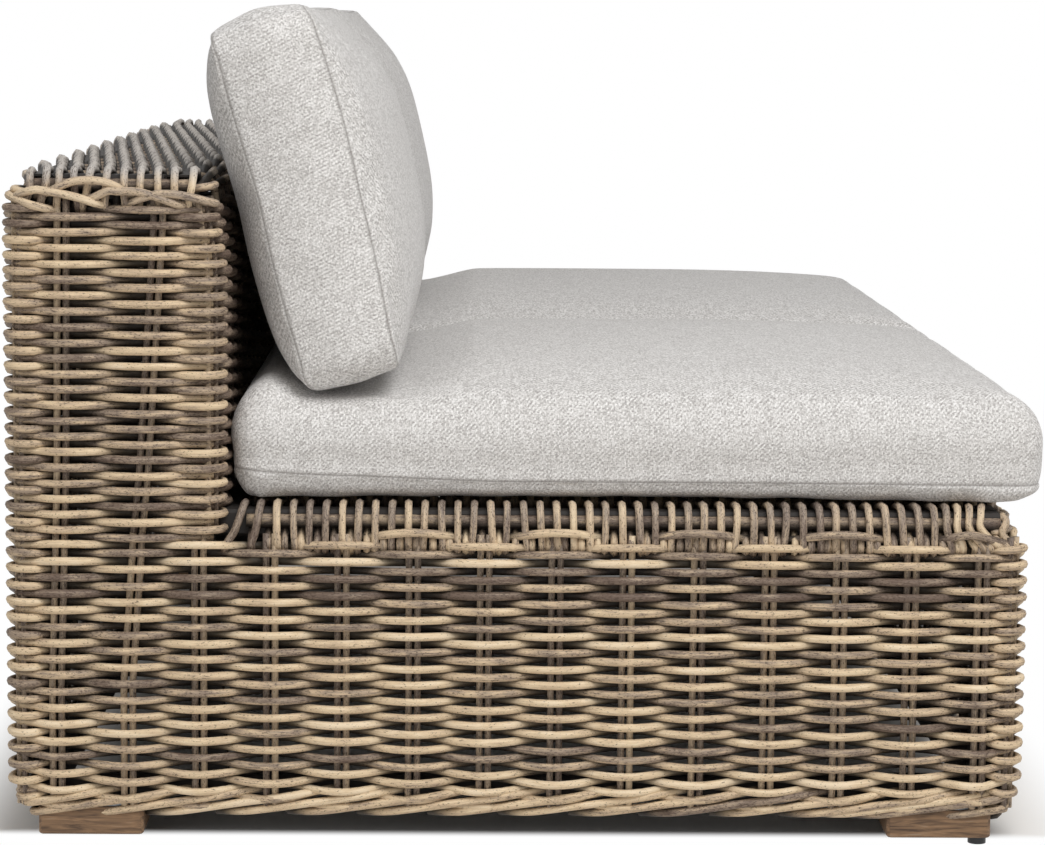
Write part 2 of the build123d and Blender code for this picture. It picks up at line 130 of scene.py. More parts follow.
def makeRattan():
    material, tree, shader = newMaterial("weatheredRattan", Roughness=0.62, Specular_IOR_Level=0.35)
    coord = addNode(tree, "Attribute", {"attribute_name": "strandCoord"}).outputs["Vector"]
    tone, grey, depth = (addNode(tree, "Attribute", {"attribute_name": name}).outputs["Fac"]
                         for name in ("strandTone", "strandGrey", "strandDepth"))
    noises = []  # fibres, mottling and specks: stretched along the strand, their size, detail and roughness
    for stretch, size, detail, roughness in (((0.05, 1.0, 1.0), 2 * rattan["fibreWidth"], 3.0, 0.6),
                                             ((1.0, 4.0, 4.0), rattan["mottleLength"], 4.0, 0.62),
                                             ((0.45, 1.0, 1.0), rattan["fleckSize"], 2.0, 0.7)):
        stretched = addNode(tree, "Mapping", inputs={"Vector": coord, "Scale": stretch}).outputs["Vector"]
        noises.append(addNode(tree, "TexNoise", inputs={
            "Vector": stretched, "Scale": 1 / size, "Detail": detail, "Roughness": roughness}).outputs["Fac"])
    fibre, mottle, fleck = noises
    # the tone that a strand grew with, moved a little by its mottling and its fibres
    mottled = addNode(tree, "MapRange", inputs={
        "Value": mottle, "From Min": 0.25, "From Max": 0.75,
        "To Min": rattan["mottling"][0], "To Max": rattan["mottling"][1]}).outputs["Result"]
    fibred = addNode(tree, "MapRange", inputs={
        "Value": fibre, "From Min": 0.3, "From Max": 0.7,
        "To Min": -rattan["fibring"], "To Max": rattan["fibring"]}).outputs["Result"]
    broadTone = addNode(tree, "Math", {"operation": "ADD"}, {0: tone, 1: mottled}).outputs[0]
    fineTone = addNode(tree, "Math", {"operation": "ADD", "use_clamp": True}, {
        0: broadTone, 1: fibred}).outputs[0]
    colour = addNode(tree, "ValToRGB", {"stops": rattan["tones"]}, {"Fac": fineTone}).outputs["Color"]
    greyed = addNode(tree, "Mix", {"data_type": "RGBA"}, {
        "Factor": grey, 6: colour, 7: toLinear(rattan["greyed"])}).outputs[2]
    # darker strands carry more specks
    rare = addNode(tree, "MapRange", inputs={
        "Value": broadTone, "From Min": 0.1, "From Max": 0.9,
        "To Min": rattan["fleckFrom"][0], "To Max": rattan["fleckFrom"][1]}).outputs["Result"]
    over = addNode(tree, "Math", {"operation": "SUBTRACT"}, {0: fleck, 1: rare}).outputs[0]
    speck = addNode(tree, "MapRange", inputs={
        "Value": over, "From Min": 0.0, "From Max": 0.07,
        "To Min": 0.0, "To Max": rattan["fleckShare"]}).outputs["Result"]
    flecked = addNode(tree, "Mix", {"data_type": "RGBA"}, {
        "Factor": speck, 6: greyed, 7: toLinear(rattan["fleck"])}).outputs[2]
    # painted shade: what lies deep in the weave is darkened towards the recess colour, where shade falls
    # between the strands
    deep = addNode(tree, "MapRange", {"interpolation_type": "SMOOTHSTEP"}, {
        "Value": depth, "From Min": rattan["shadeFrom"], "From Max": rattan["shadeTo"],
        "To Min": 0.0, "To Max": rattan["shadeStrength"]}).outputs["Result"]
    paintedShade = addNode(tree, "Mix", {"data_type": "RGBA"}, {
        "Factor": deep, 6: flecked, 7: toLinear(rattan["recessShade"])}).outputs[2]
    height = addNode(tree, "Math", {"operation": "MULTIPLY_ADD"}, {0: fibre, 1: 0.6, 2: mottle}).outputs[0]
    finishSurface(tree, shader, paintedShade, height, 0.55, rattan["bump"])
    return material


rattanMaterial = makeRattan()
print("Rattan ready")


# Strands: round tubes that carry their own coordinates, tone and greyness

def newBundle():
    return {"points": [], "faces": [], "coord": [], "tone": [], "grey": [], "depth": [], "count": 0}


def addStrand(bundle, path, facing, radius, tone, grey, sides, deep):
    # facing points away from the wall, and deep is how far the strand's middle lies below the outermost ones
    path = np.asarray(path, float)
    count = len(path)
    facing = np.broadcast_to(np.asarray(facing, float), path.shape)
    along = np.gradient(path, axis=0)
    along /= np.linalg.norm(along, axis=1)[:, None]
    up = facing - along * (facing * along).sum(1)[:, None]
    up /= np.linalg.norm(up, axis=1)[:, None]
    side = np.cross(along, up)
    turn = np.arange(sides) * 2 * math.pi / sides
    radius = np.broadcast_to(np.asarray(radius, float), (count,))
    ring = (np.cos(turn)[None, :, None] * up[:, None] + np.sin(turn)[None, :, None] * side[:, None])
    points = (path[:, None] + ring * radius[:, None, None]).reshape(-1, 3)
    length = np.concatenate([[0], np.cumsum(np.linalg.norm(np.diff(path, axis=0), axis=1))])
    shift = rng.uniform(-50, 50, 3)
    coord = np.empty((count, sides, 3))
    coord[..., 0] = length[:, None] + shift[0]
    coord[..., 1] = radius[:, None] * np.cos(turn)[None] + shift[1]
    coord[..., 2] = radius[:, None] * np.sin(turn)[None] + shift[2]
    first = bundle["count"]
    row = np.arange(count - 1)[:, None] * sides
    step = np.arange(sides)[None]
    nextStep = (step + 1) % sides
    quads = np.stack([row + step, row + nextStep, row + sides + nextStep, row + sides + step], -1)
    bundle["faces"] += (quads.reshape(-1, 4) + first).tolist()
    bundle["faces"] += [list(range(first, first + sides))[::-1],
                        list(range(first + (count - 1) * sides, first + count * sides))]
    bundle["points"].append(points)
    bundle["coord"].append(coord.reshape(-1, 3))
    bundle["tone"].append(np.repeat(np.broadcast_to(tone, (count,)), sides))
    bundle["grey"].append(np.repeat(np.broadcast_to(grey, (count,)), sides))
    below = np.broadcast_to(deep, (count,))[:, None] + radius[:, None] * (1 - np.cos(turn)[None])
    bundle["depth"].append(below.ravel() / mm)
    bundle["count"] += count * sides


def makeWicker(name, bundle, *nodes):
    mesh = bpy.data.meshes.new(name)
    mesh.from_pydata(np.concatenate(bundle["points"]), [], bundle["faces"])
    mesh.polygons.foreach_set("use_smooth", [True] * len(mesh.polygons))
    for label, kind, field, key in (("strandCoord", "FLOAT_VECTOR", "vector", "coord"),
                                    ("strandTone", "FLOAT", "value", "tone"),
                                    ("strandGrey", "FLOAT", "value", "grey"),
                                    ("strandDepth", "FLOAT", "value", "depth")):
        values = np.concatenate(bundle[key]).astype(np.float32).ravel()
        mesh.attributes.new(label, kind, "POINT").data.foreach_set(field, values)
    mesh.materials.append(rattanMaterial)
    piece = bpy.data.objects.new(name, mesh)
    bpy.context.scene.collection.objects.link(piece)
    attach(piece, "frame")
    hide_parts(*nodes)
    print(name, len(mesh.polygons), "faces")
    return piece


def smoothPath(points, spacing):
    # a Catmull-Rom curve through the points
    points = np.asarray(points, float)
    padded = np.vstack([2 * points[0] - points[1], points, 2 * points[-1] - points[-2]])
    out = []
    for a, b, c, d in zip(padded[:-3], padded[1:-2], padded[2:-1], padded[3:]):
        steps = max(2, round(float(np.linalg.norm(c - b)) / spacing))
        t = (np.arange(steps) / steps)[:, None]
        out.append(0.5 * (2 * b + (c - a) * t + (2 * a - 5 * b + 4 * c - d) * t ** 2
                          + (3 * b - a - 3 * c + d) * t ** 3))
    return np.vstack(out + [points[-1:]])


# The woven walls: rows of one round strand, in front of and behind pairs of rods

weave = {
    "strand": 3.8 * mm,          # radius of a strand
    "rod": 3.5 * mm,             # radius of a rod
    "rodApart": 4.1 * mm,        # a rod from the middle of its pair
    "swing": 8.9 * mm,           # how far a row leaves the middle of the wall
    "cornerSwing": 3.8 * mm,     # the same where it rounds a corner
    "perRod": 8,                 # points of a row from one pair to the next
    "rods": 22,                  # pairs over the width
    "rodsTo": 0.690,             # the last of them, from the middle
    "sideRods": 14,              # pairs over the depth
    "sideFrom": -0.4232, "sideTo": 0.4329,
    "leanFrom": 0.15, "leanOver": 0.134, "leanBy": (9.6, 4.4),
    # the pairs on the side of the back: heights, and where each stands there
    "upperSide": ([0.2887, 0.3507, 0.583], [0.3574, 0.3513, 0.3366], [0.4285, 0.4268, 0.4246]),
    "lowerPitch": 7.6 * mm, "firstRow": 45.5 * mm, "lastRow": 281.1 * mm,
    # how a row bows between the rods: shares of the wall's height, and mm
    "bow": ([0, 0.12, 0.5, 0.88, 1], [-2.5, -1.0, 0.2, 0.8, 1.6]),
    # the bottom rows draw in towards the border
    "drawnTo": 62 * mm, "drawnFrom": 40.5 * mm, "drawn": 12 * mm,
    "rimRow": 0.2912, "rimBow": 4.5 * mm, "rimDip": 2.6 * mm,
    "upperPitch": 7.181 * mm, "upperFirst": 288.7 * mm, "upperLast": 590.3 * mm,
    "upperDark": 0.8,            # the back's rows are darker than the seat's
    "cushionShadow": 0.3,           # painted shadow of the cushions, darkening the back's front face
    "newStrand": 0.24,           # chance that a strand ends behind a rod
    "wobble": 0.35 * mm,
    "grown": (2.3, 1.7),         # the spread of tones that strands grew with
    "rodGrown": (2, 3.2),
}
roll = sofa["roll"]
middle = roll - sofa["halfWall"]


def backFace(z):
    # the front face of the back stands upright behind the cushions, and only its top leans away
    return float(np.interp(z, [sofa["leanFrom"], sofa["backHeight"] - roll],
                           [sofa["backFace"], sofa["backTopFace"]]))


def makeLoop(front):
    # the middle of the wall, clockwise from above, from the front end of the left wall
    side, rear, low = sofa["side"] - roll, sofa["rear"] - roll, front + roll
    points, normals = [(-side - middle, low)], [(-1.0, 0.0)]
    for cx, cy, start in ((-side, rear, 180), (side, rear, 90), (side, low, 0), (-side, low, -90)):
        for turn in np.linspace(0, 90, 10):
            angle = math.radians(start - turn)
            normals.append((math.cos(angle), math.sin(angle)))
            points.append((cx + middle * math.cos(angle), cy + middle * math.sin(angle)))
    points, normals = np.array(points), np.array(normals)
    s = np.concatenate([[0], np.cumsum(np.linalg.norm(np.diff(points, axis=0), axis=1))])
    return {"s": s, "points": points, "normals": normals, "total": s[-1], "depth": rear - low,
            "width": 2 * side, "corner": math.pi / 2 * middle, "low": low}


def onLoop(loop, s):
    s = np.mod(s, loop["total"])
    place = np.stack([np.interp(s, loop["s"], loop["points"][:, i]) for i in (0, 1)], -1)
    normal = np.stack([np.interp(s, loop["s"], loop["normals"][:, i]) for i in (0, 1)], -1)
    return place, normal / np.linalg.norm(normal, axis=-1)[:, None]


rodX = np.linspace(-weave["rodsTo"], weave["rodsTo"], weave["rods"])


def stations(loop, sideY):
    # where the pairs of rods stand along the loop: left, rear, right and front, and one at each corner
    depth, width, corner, low = loop["depth"], loop["width"], loop["corner"], loop["low"]
    left = np.sort(np.asarray(sideY)) - low
    half = width / 2
    parts = [left, [depth + corner / 2], depth + corner + rodX + half, [depth + 1.5 * corner + width],
             depth + 2 * corner + width + (depth - left[::-1]), [2 * depth + 2.5 * corner + width],
             2 * depth + 3 * corner + width + half - rodX[::-1], [2 * depth + 3.5 * corner + 2 * width]]
    return np.concatenate(parts)


def lowerSideY(z):
    # evenly spaced, but the last two lean forward to meet the rods of the back
    y = np.linspace(weave["sideFrom"], weave["sideTo"], weave["sideRods"])
    lean = np.clip((z - weave["leanFrom"]) / weave["leanOver"], 0, 1)
    y[-2:] -= np.array(weave["leanBy"]) * mm * lean
    return y


def upperSideY(z):
    heights, *pairs = weave["upperSide"]
    return np.array([np.interp(z, heights, pair) for pair in pairs])


def strandTones(k, row):
    # one tone a strand, and each new strand starts behind a rod
    cell = np.floor((k + row + 1) / 2).astype(int)
    cell -= cell.min()
    tones = np.empty(cell.max() + 1)
    tone = rng.beta(*weave["grown"])
    for i in range(len(tones)):
        if rng.random() < weave["newStrand"]:
            tone = rng.beta(*weave["grown"])
        tones[i] = tone + rng.normal(0, 0.045)
    tones[-1] = tones[0]
    return np.clip(tones[cell], 0, 1)


def swings(count):
    # a row swings less at a corner rod, and runs nearer the outside there
    sides = (count - 4 - 2 * weave["rods"]) // 2
    corners = [sides, sides + weave["rods"] + 1, 2 * sides + weave["rods"] + 2, count - 1]
    swing = np.full(count + 1, weave["swing"])
    swing[corners] = weave["cornerSwing"]
    return swing, weave["swing"] - swing


def weaveRow(loop, places, z, row, bow=0.0, dark=1.0):
    count = len(places)
    k = np.arange(count * weave["perRod"] + 1) / weave["perRod"]
    wrapped = np.concatenate([places, [places[0] + loop["total"]]])
    s = np.interp(k, np.arange(count + 1), wrapped)
    place, normal = onLoop(loop, s)
    c = np.cos(math.pi * (k + row))
    swing, outward = swings(count)
    out = np.interp(k, np.arange(count + 1), swing) * c + np.interp(k, np.arange(count + 1), outward)
    a, b = rng.uniform(0, 2 * math.pi, 2)
    turn = 2 * math.pi * s / loop["total"]
    wobble = weave["wobble"] * (np.sin(5 * turn + a) + np.sin(13 * turn + b))
    path = np.column_stack([place + normal * out[:, None], z + bow * c + wobble])
    return {"path": path, "normal": np.column_stack([normal, np.zeros(len(k))]), "row": row, "count": count,
            "deep": weave["swing"] - out, "tone": dark * strandTones(k, row),
            "radius": weave["strand"] * (1 + rng.uniform(-0.06, 0.06)) * np.ones(len(k))}


def cutRow(bundle, data, first, last, sides, dark=1.0):
    # from one rod to another, each moved on to where this row runs behind
    first += (first + data["row"]) % 2 == 0
    last += (last + data["row"]) % 2 == 0
    perRod = weave["perRod"]
    index = np.arange(first * perRod, last * perRod + 1) % (data["count"] * perRod)
    addStrand(bundle, data["path"][index], data["normal"][index], data["radius"][index],
              dark * data["tone"][index], 0.0, sides, data["deep"][index])


# each wall's first and last rod along the loop, and how many sides its strands have
lowerSpans = (("left", 74, 90, 8), ("rear", 14, 36, 6), ("right", 36, 52, 8), ("front", 52, 74, 8))
rimSpans = (("left", 74, 85, 8), ("right", 41, 52, 8), ("front", 52, 74, 8))
upperSpans = (("backLeft", 50, 54, 8), ("rear", 2, 24, 6), ("backRight", 24, 28, 8), ("backFront", 28, 50, 6))
walls = {span[0]: newBundle() for span in lowerSpans + upperSpans}

# where the corners are rounder: start and length of each change
rounding = {
    "across": (0.58, 0.16),
    "front": 22 * mm, "frontY": (-0.38, -0.06), "frontZ": (0.283, 0.016),
    "rear": 15 * mm, "rearY": (0.42, 0.05), "rearZ": (0.590, 0.022),
}


def ramp(value, change):
    # 0 to 1 from the start of a change over its length
    start, length = change
    return np.clip((value - start) / length, 0, 1)


def roundCorners(path):
    # the front of the seat and the top of the back are rounder at their corners
    x, y, z = path.T
    near = ramp(np.abs(x), rounding["across"]) ** 1.5
    front = near * ramp(y, rounding["frontY"]) * ramp(z, rounding["frontZ"])
    rear = near * ramp(y, rounding["rearY"]) * ramp(z, rounding["rearZ"])
    return np.column_stack([x, y + rounding["front"] * front - rounding["rear"] * rear, z])


lowerLoop = makeLoop(sofa["front"])
lowerRows = round((weave["lastRow"] - weave["firstRow"]) / weave["lowerPitch"]) + 1
for row in range(-1, lowerRows):
    z = weave["firstRow"] + row * weave["lowerPitch"]
    bow = np.interp(row / (lowerRows - 1), *weave["bow"]) * mm
    data = weaveRow(lowerLoop, stations(lowerLoop, lowerSideY(z)), z, row, bow)
    high = (z - weave["drawnFrom"]) / (weave["drawnTo"] - weave["drawnFrom"])
    drawn = weave["drawn"] * max(0.0, 1 - high) ** 1.5
    data["path"] -= data["normal"] * drawn * (1 - 0.5 * data["normal"][:, :1] ** 2)
    for wall, first, last, sides in lowerSpans:
        cutRow(walls[wall], data, first, last, sides)

# one more row lies in front of the wraps' feet, round the seat's rim
rimPlaces = stations(lowerLoop, lowerSideY(weave["rimRow"]))
rimRow = weaveRow(lowerLoop, rimPlaces, weave["rimRow"], lowerRows, weave["rimBow"])
rimRow["path"][:, 2] -= weave["rimDip"] * rimRow["normal"][:, 1] ** 2
rimRow["path"] = roundCorners(rimRow["path"])
for wall, first, last, sides in rimSpans:
    cutRow(walls[wall], rimRow, first, last, sides)

upperRows = round((weave["upperLast"] - weave["upperFirst"]) / weave["upperPitch"]) + 1
for row in range(upperRows):
    z = weave["upperFirst"] + row * weave["upperPitch"]
    loop = makeLoop(backFace(z))
    data = weaveRow(loop, stations(loop, upperSideY(z)), z, row + lowerRows, 0.0, weave["upperDark"])
    for wall, first, last, sides in upperSpans:
        if wall != "backFront":
            cutRow(walls[wall], data, first, last, sides)
        elif z > sofa["deckHeight"] - 8 * mm:
            # the back's front face, behind the cushions, is darkened as painted shadow
            cutRow(walls[wall], data, first, last, sides, weave["cushionShadow"])
print("Rows of the walls woven")


def addRods(bundle, path, apart, facing):
    # a pair of rods side by side
    path, apart = np.asarray(path, float), np.asarray(apart, float)
    for way in (-1, 1):
        addStrand(bundle, path + apart * way * weave["rodApart"], facing, weave["rod"],
                  0.9 * rng.beta(*weave["rodGrown"]), 0.1, 6, 7.0 * mm)


def wallRods(loopAt, sideYAt, spans, heights):
    for wall, first, last, _ in spans:
        for k in range(first + 1, last + 1):
            path, apart, facing = [], [], []
            for z in heights:
                loop = loopAt(z)
                places = stations(loop, sideYAt(z))
                place, normal = onLoop(loop, places[[k % len(places)]])
                path.append((*place[0], z))
                facing.append((*normal[0], 0))
                apart.append((-normal[0][1], normal[0][0], 0))
            addRods(walls[wall], path, apart, np.array(facing))


wallRods(lambda z: lowerLoop, lowerSideY, lowerSpans, np.linspace(0.036, 0.2925, 12))
wallRods(lambda z: makeLoop(backFace(z)), upperSideY, upperSpans, np.linspace(0.2925, 0.6005, 12))


# Rim of the back: strands that rise from behind and slant down over the next, in front of the wraps

rim = {
    # a high strand and a low one: mm along from the peak, up, and out from the middle of the wall
    "high": [(-52, 598, -7), (-40, 603, 0), (-26, 609, 6.5), (-12, 614.5, 9), (0, 616.5, 9.3), (16, 615, 9),
             (30, 610, 5), (40, 604, 0), (52, 598, -7)],
    "low": [(-42, 592, -7), (-32, 596, 0), (-20, 602, 7), (-8, 606.5, 9.3), (0, 607.5, 9.5), (18, 606, 9.5),
            (38, 600.5, 9.5), (54, 596, 7), (66, 592, -6)],
    "outmost": 9.5,
    # where the peaks stand along the side, and how much lower
    "strands": [("low", 24 * mm, 3 * mm), ("low", 64 * mm, 0.0), ("high", 94 * mm, 0.0),
                ("low", 139 * mm, 0.0), ("low", 184 * mm, 6 * mm)],
}


def addRim(side, bundle):
    loop = makeLoop(backFace(0.598))
    for kind, peak, lower in rim["strands"]:
        profile = np.array(rim[kind], float)
        steps = np.arange(len(profile))
        place, normal = onLoop(loop, peak - profile[:, 0] * mm)
        heights = (profile[:, 1] + rng.normal(0, 0.6, len(profile))) * mm - lower
        path = roundCorners(np.column_stack([place + normal * profile[:, 2:] * mm, heights]))
        path = smoothPath(path, 4 * mm)
        along = np.interp(np.linspace(0, 1, len(path)), np.linspace(0, 1, len(profile)), steps)
        facing = onLoop(loop, peak - np.interp(along, steps, profile[:, 0]) * mm)[1]
        facing = np.column_stack([facing, np.zeros(len(path))])
        deep = rim["outmost"] - np.interp(along, steps, profile[:, 2])
        path[:, 0] *= -side
        facing[:, 0] *= -side
        tone = 0.2 + 0.6 * rng.beta(*weave["grown"])
        addStrand(bundle, path, facing, weave["strand"], tone, 0.1, 8, deep * mm)


addRim(-1, walls["backLeft"])
addRim(1, walls["backRight"])


# Seat deck and top of the back: rows across the width, carried over the side rails and down the outside

cover = {
    "rail": 0.700,                 # middle of the side rail, the last thing that a row is woven over
    "barOut": 24.5 * mm, "barDown": 18.5 * mm, "barRadius": 6.5 * mm,  # the dark cane behind the wraps
    "barDark": 0.55,
    "inset": 8 * mm,               # the wraps' feet lie that far in, behind the rows of the rim
    "strandOut": roll - weave["strand"],
    "tilt": 1.8 * mm, "pitch": 7.65 * mm,
    # the ends of rows, mm: up from the roll's middle, share of the wrap's reach, out from it, down, and tilt
    "foot": [(0, 1, 0.5, 0, 1.0), (0, 1, -1.5, 4.5, 1.1), (0, 1, -6, 9, 1.2)],
    "tip": [(3.5, 0, 0, 0, 0), (-1.5, 0, 5.5, 0, 0), (0, 1, -6, 2.5, 0), (0, 1, -1.5, 5.5, 0),
            (0, 1, 0, 9, 0), (0, 1, -2.2, 13, 0), (0, 1, -7, 18, 0)],
    "stub": [(3.5, 0, 0, 0, 0), (-3, 0, 3, 0, 0), (0, 0, 5, 7, 0), (0, 0, 3, 15, 0)],
    # the rows that round the upright corner end behind the first wraps: mm out, inward and down
    "cornerEnd": [(0, 0, 0), (9, 3, 0.5), (15, 10, 1.5), (14, 19, 3.0)],
    # the wraps' ends get this depth, so painted shade darkens them where they tuck under
    "endDeep": 5 * mm,
}
deckX = np.concatenate([[-cover["rail"]], rodX[1:-1], [cover["rail"]]])


def sectionPoint(t, section):
    # a place t along the section's middle line, its outward direction, and its roll's middle and angle
    arc = math.pi / 2 * middle
    way, level, start = section["way"], section["height"] - roll, section["start"]
    if t < section["rise"]:
        return (start, level - section["rise"] + t), (way, 0.0), start - way * middle, 0.0
    t -= section["rise"]
    if t < arc:
        angle = t / middle
        cy = start - way * middle
        return ((cy + way * middle * math.cos(angle), level + middle * math.sin(angle)),
                (way * math.cos(angle), math.sin(angle)), cy, angle)
    t -= arc
    flat = abs(section["end"] - (start - way * middle))
    if t < flat:
        y = start - way * middle - way * t
        return (y, level + middle), (0.0, 1.0), y, math.pi / 2
    angle = min((t - flat) / middle, math.pi / 2)
    cy = start - way * middle - way * flat
    return ((cy - way * middle * math.sin(angle), level + middle * math.cos(angle)),
            (-way * math.sin(angle), math.cos(angle)), cy, math.pi / 2 + angle)


def overEnd(side, centre, normal, angle, level, over, section, tilt):
    # the end of a row at a side rail: over the bar and down, or under it as a short tip
    beta = abs(math.pi / 2 - angle)
    toward = section["way"] if angle <= math.pi / 2 else -section["way"]
    up = np.array([0.0, normal[0], normal[1]])
    out = np.array([side * math.cos(beta), toward * math.sin(beta), 0.0])
    down = np.array([0.0, 0.0, -1.0])
    c = np.array([side * (sofa["side"] - roll), centre, level])
    reach = cover["strandOut"]
    near = reach - cover["inset"]
    lean = np.array([0.0, tilt, 0.0])
    if beta > 1.1:
        edge = c + up * reach - np.array([side * 8 * mm, 0.0, 0.0])
        points = [edge + np.array([side * x, -toward * y, -z]) * mm for x, y, z in cover["cornerEnd"]]
        return np.array(points), np.array([side, 0.0, 0.0])
    points = []
    if over:
        for w in np.linspace(0, math.pi / 2, 5):
            share = w / (math.pi / 2)
            points.append(c + reach * up * math.cos(w) + near * out * math.sin(w) + lean * share ** 2 * 0.6)
    table = "foot" if over else "tip" if section["tips"] else "stub"
    lower = section["foot"] if over else 0.0
    for u, share, o, d, l in cover[table]:
        points.append(c + up * u * mm + out * (share * near + o * mm) + down * (lower + d * mm) + lean * l)
    return np.array(points), out


def coverRow(section, t, row):
    (y, z), (ny, nz), centre, angle = sectionPoint(t, section)
    level = section["height"] - roll
    normal = np.array([0.0, ny, nz])
    k = np.arange((len(deckX) - 1) * section["perRod"] + 1) / section["perRod"]
    x = np.interp(k, np.arange(len(deckX)), deckX)
    c = np.cos(math.pi * (k + row))
    out = weave["swing"] * c
    # depth is scaled up per section, so the painted shade between strands starts sooner
    deep = section["paintedShade"] * (weave["swing"] - out)
    a = rng.uniform(0, 2 * math.pi)
    path = np.column_stack([x, np.full(len(k), y) + 0.4 * mm * np.sin(9 * x + a), np.full(len(k), z)])
    path = roundCorners(path + normal * out[:, None])
    tone = section["dark"] * strandTones(k, row)
    upright = section["bleached"] * max(nz, 0.0) ** 2
    facing = np.broadcast_to(normal, path.shape)

    def facings(curve, outward):
        share = np.linspace(0, 1, len(curve))[:, None]
        blend = normal * (1 - share) + outward * share
        return blend / np.linalg.norm(blend, axis=1)[:, None]

    def greys(curve):
        # the bleaching fades out where a row turns down
        fall = np.clip((level + 0.8 * roll - curve[:, 2]) / (0.45 * roll), 0, 1)
        return upright * (1 - fall) + 0.05

    curves = []
    for side, end in ((-1, 0), (1, -1)):
        tilt = rng.normal(0, cover["tilt"]) + section["fan"](y)
        points, outward = overEnd(side, centre, (ny, nz), angle, level, c[end] > 0, section, tilt)
        curve = smoothPath(np.vstack([path[end][None], roundCorners(points)]), 3.2 * mm)[1:]
        curves.append((curve, outward, end))
    radius = weave["strand"] * (1 + rng.uniform(-0.07, 0.05))
    body = section["bodyOf"](angle)
    if body == "top":
        # one strand from foot to foot
        whole = [(path, facing, np.full(len(path), upright), tone, deep)]
        for curve, outward, end in curves:
            depths = np.interp(np.linspace(0, 1, len(curve)), [0, 0.6, 0.8, 1.0],
                               [deep[end], 0.4 * deep[end], 0.0, cover["endDeep"]])
            added = (curve, facings(curve, outward), greys(curve), np.full(len(curve), tone[end]), depths)
            if end == 0:
                whole.insert(0, [values[::-1] for values in added])
            else:
                whole.append(added)
        points, facing, grey, tones, depths = (np.concatenate(parts) for parts in zip(*whole))
        addStrand(section["bundle"], points, facing, radius, tones, grey, 6, depths)
        return
    addStrand(walls[body], path, facing, radius, tone, upright, 6, deep)
    for (curve, outward, end), wall in zip(curves, section["sides"]):
        whole = np.vstack([path[end][None], curve])
        depths = np.interp(np.linspace(0, 1, len(whole)), [0, 0.8, 1.0], [deep[end], 0.0, cover["endDeep"]])
        addStrand(walls[wall], whole, facings(whole, outward), radius, tone[end], greys(whole), 8, depths)


def coverRods(section, total):
    places = [sectionPoint(t, section)[:2] for t in np.linspace(0, total, 40)]
    for x in rodX[1:-1]:
        path = [(x, y, z) for (y, z), _ in places]
        facing = [(0, ny, nz) for _, (ny, nz) in places]
        addRods(section["bundle"], path, np.array([1.0, 0, 0]), np.array(facing))


arcLength = math.pi / 2 * middle
# way says on which side the rows start, rise is the straight length before the roll, and foot how far a wrap
# runs down; dark sets the tone, bleached the grey of the upper face, and the depth gain the painted shade
# between strands
deckSection = {
    "way": -1, "height": sofa["deckHeight"], "start": sofa["front"] + sofa["halfWall"], "end": 0.262,
    "rise": 3.8 * mm, "foot": 8.5 * mm, "tips": True, "perRod": 5, "bars": (-0.440, 0.258),
    # the deck's dark of 0.75 is painted shade under the cushions
    "dark": 0.75, "bleached": 0.12, "paintedShade": 1.0, "bundle": newBundle(), "sides": ("left", "right"),
    # the last wraps fan out at the foot of the back
    "fan": lambda y: float(np.interp(y, [0.205, 0.222, 0.238, 0.2535], [0, -4.6, 4.0, 15.0])) * mm,
    "bodyOf": lambda angle: "front" if angle < 1.4 else "top",
}
deckTotal = deckSection["rise"] + arcLength + abs(deckSection["end"] - (deckSection["start"] + middle))
for row in range(1, int(deckTotal / weave["lowerPitch"]) + 1):
    coverRow(deckSection, row * weave["lowerPitch"], row)
coverRods(deckSection, deckTotal)

topSection = {
    "way": 1, "height": sofa["backHeight"], "start": sofa["rear"] - sofa["halfWall"],
    "end": sofa["backTopFace"] + roll,
    "rise": 0.0, "foot": 4 * mm, "tips": False, "perRod": 6, "bars": (0.306, 0.452),
    # the top's depth gain of 3.4 outlines each crest with painted shade
    "dark": 0.9, "bleached": 0.95, "paintedShade": 3.4, "bundle": newBundle(), "sides": ("backLeft", "backRight"),
    "fan": lambda y: 0.0,
    "bodyOf": lambda angle: "rear" if angle < 1.4 else ("top" if angle < 1.75 else "backFront"),
}
topTotal = 2 * arcLength + topSection["start"] - middle - topSection["end"]
firstTop = arcLength + (topSection["start"] - middle - 0.445) - 4 * cover["pitch"]
for row in range(-1, int((topTotal - firstTop - 2 * mm) / cover["pitch"]) + 1):
    coverRow(topSection, firstTop + row * cover["pitch"], row)
coverRods(topSection, topTotal)

for section in (deckSection, topSection):
    for side in (-1, 1):
        y = np.linspace(*section["bars"], 60)
        bar = np.column_stack([np.full(60, side * (sofa["side"] - cover["barOut"])), y,
                               np.full(60, section["height"] - cover["barDown"])])
        tones = np.interp(y, np.linspace(*section["bars"], 25), rng.uniform(0.0, cover["barDark"], 25))
        addStrand(section["bundle"], bar, (0, 0, 1), cover["barRadius"] * (1 + 0.03 * np.sin(y * 190)),
                  tones, 0.0, 10, 5.5 * mm)
print("Deck and top of the back woven")


# Rolled border: one strand a rod, slanting down and round, each tucked under the next

border = {
    "length": 0.190, "samples": 26,
    # along a strand: shares of its length with its height, and with its place out from the wall's middle
    "height": ([0, 0.1, 0.85, 1.0], [52.5, 50.5, 29.5, 28.0]),
    "out": ([0, 0.12, 0.26, 0.78, 0.9, 1.0], [-7.0, 2.0, 8.5, 8.0, 0.0, -10.0]),
    "drawn": ([28.5, 45.5, 53.1, 60.5], [17.0, 8.0, 3.2, 0.0]),  # drawn in, by height
    "dip": 2.5 * mm, "dipTo": 0.42, "dipOver": 0.16,  # it hangs lower near the corners of the sides
}

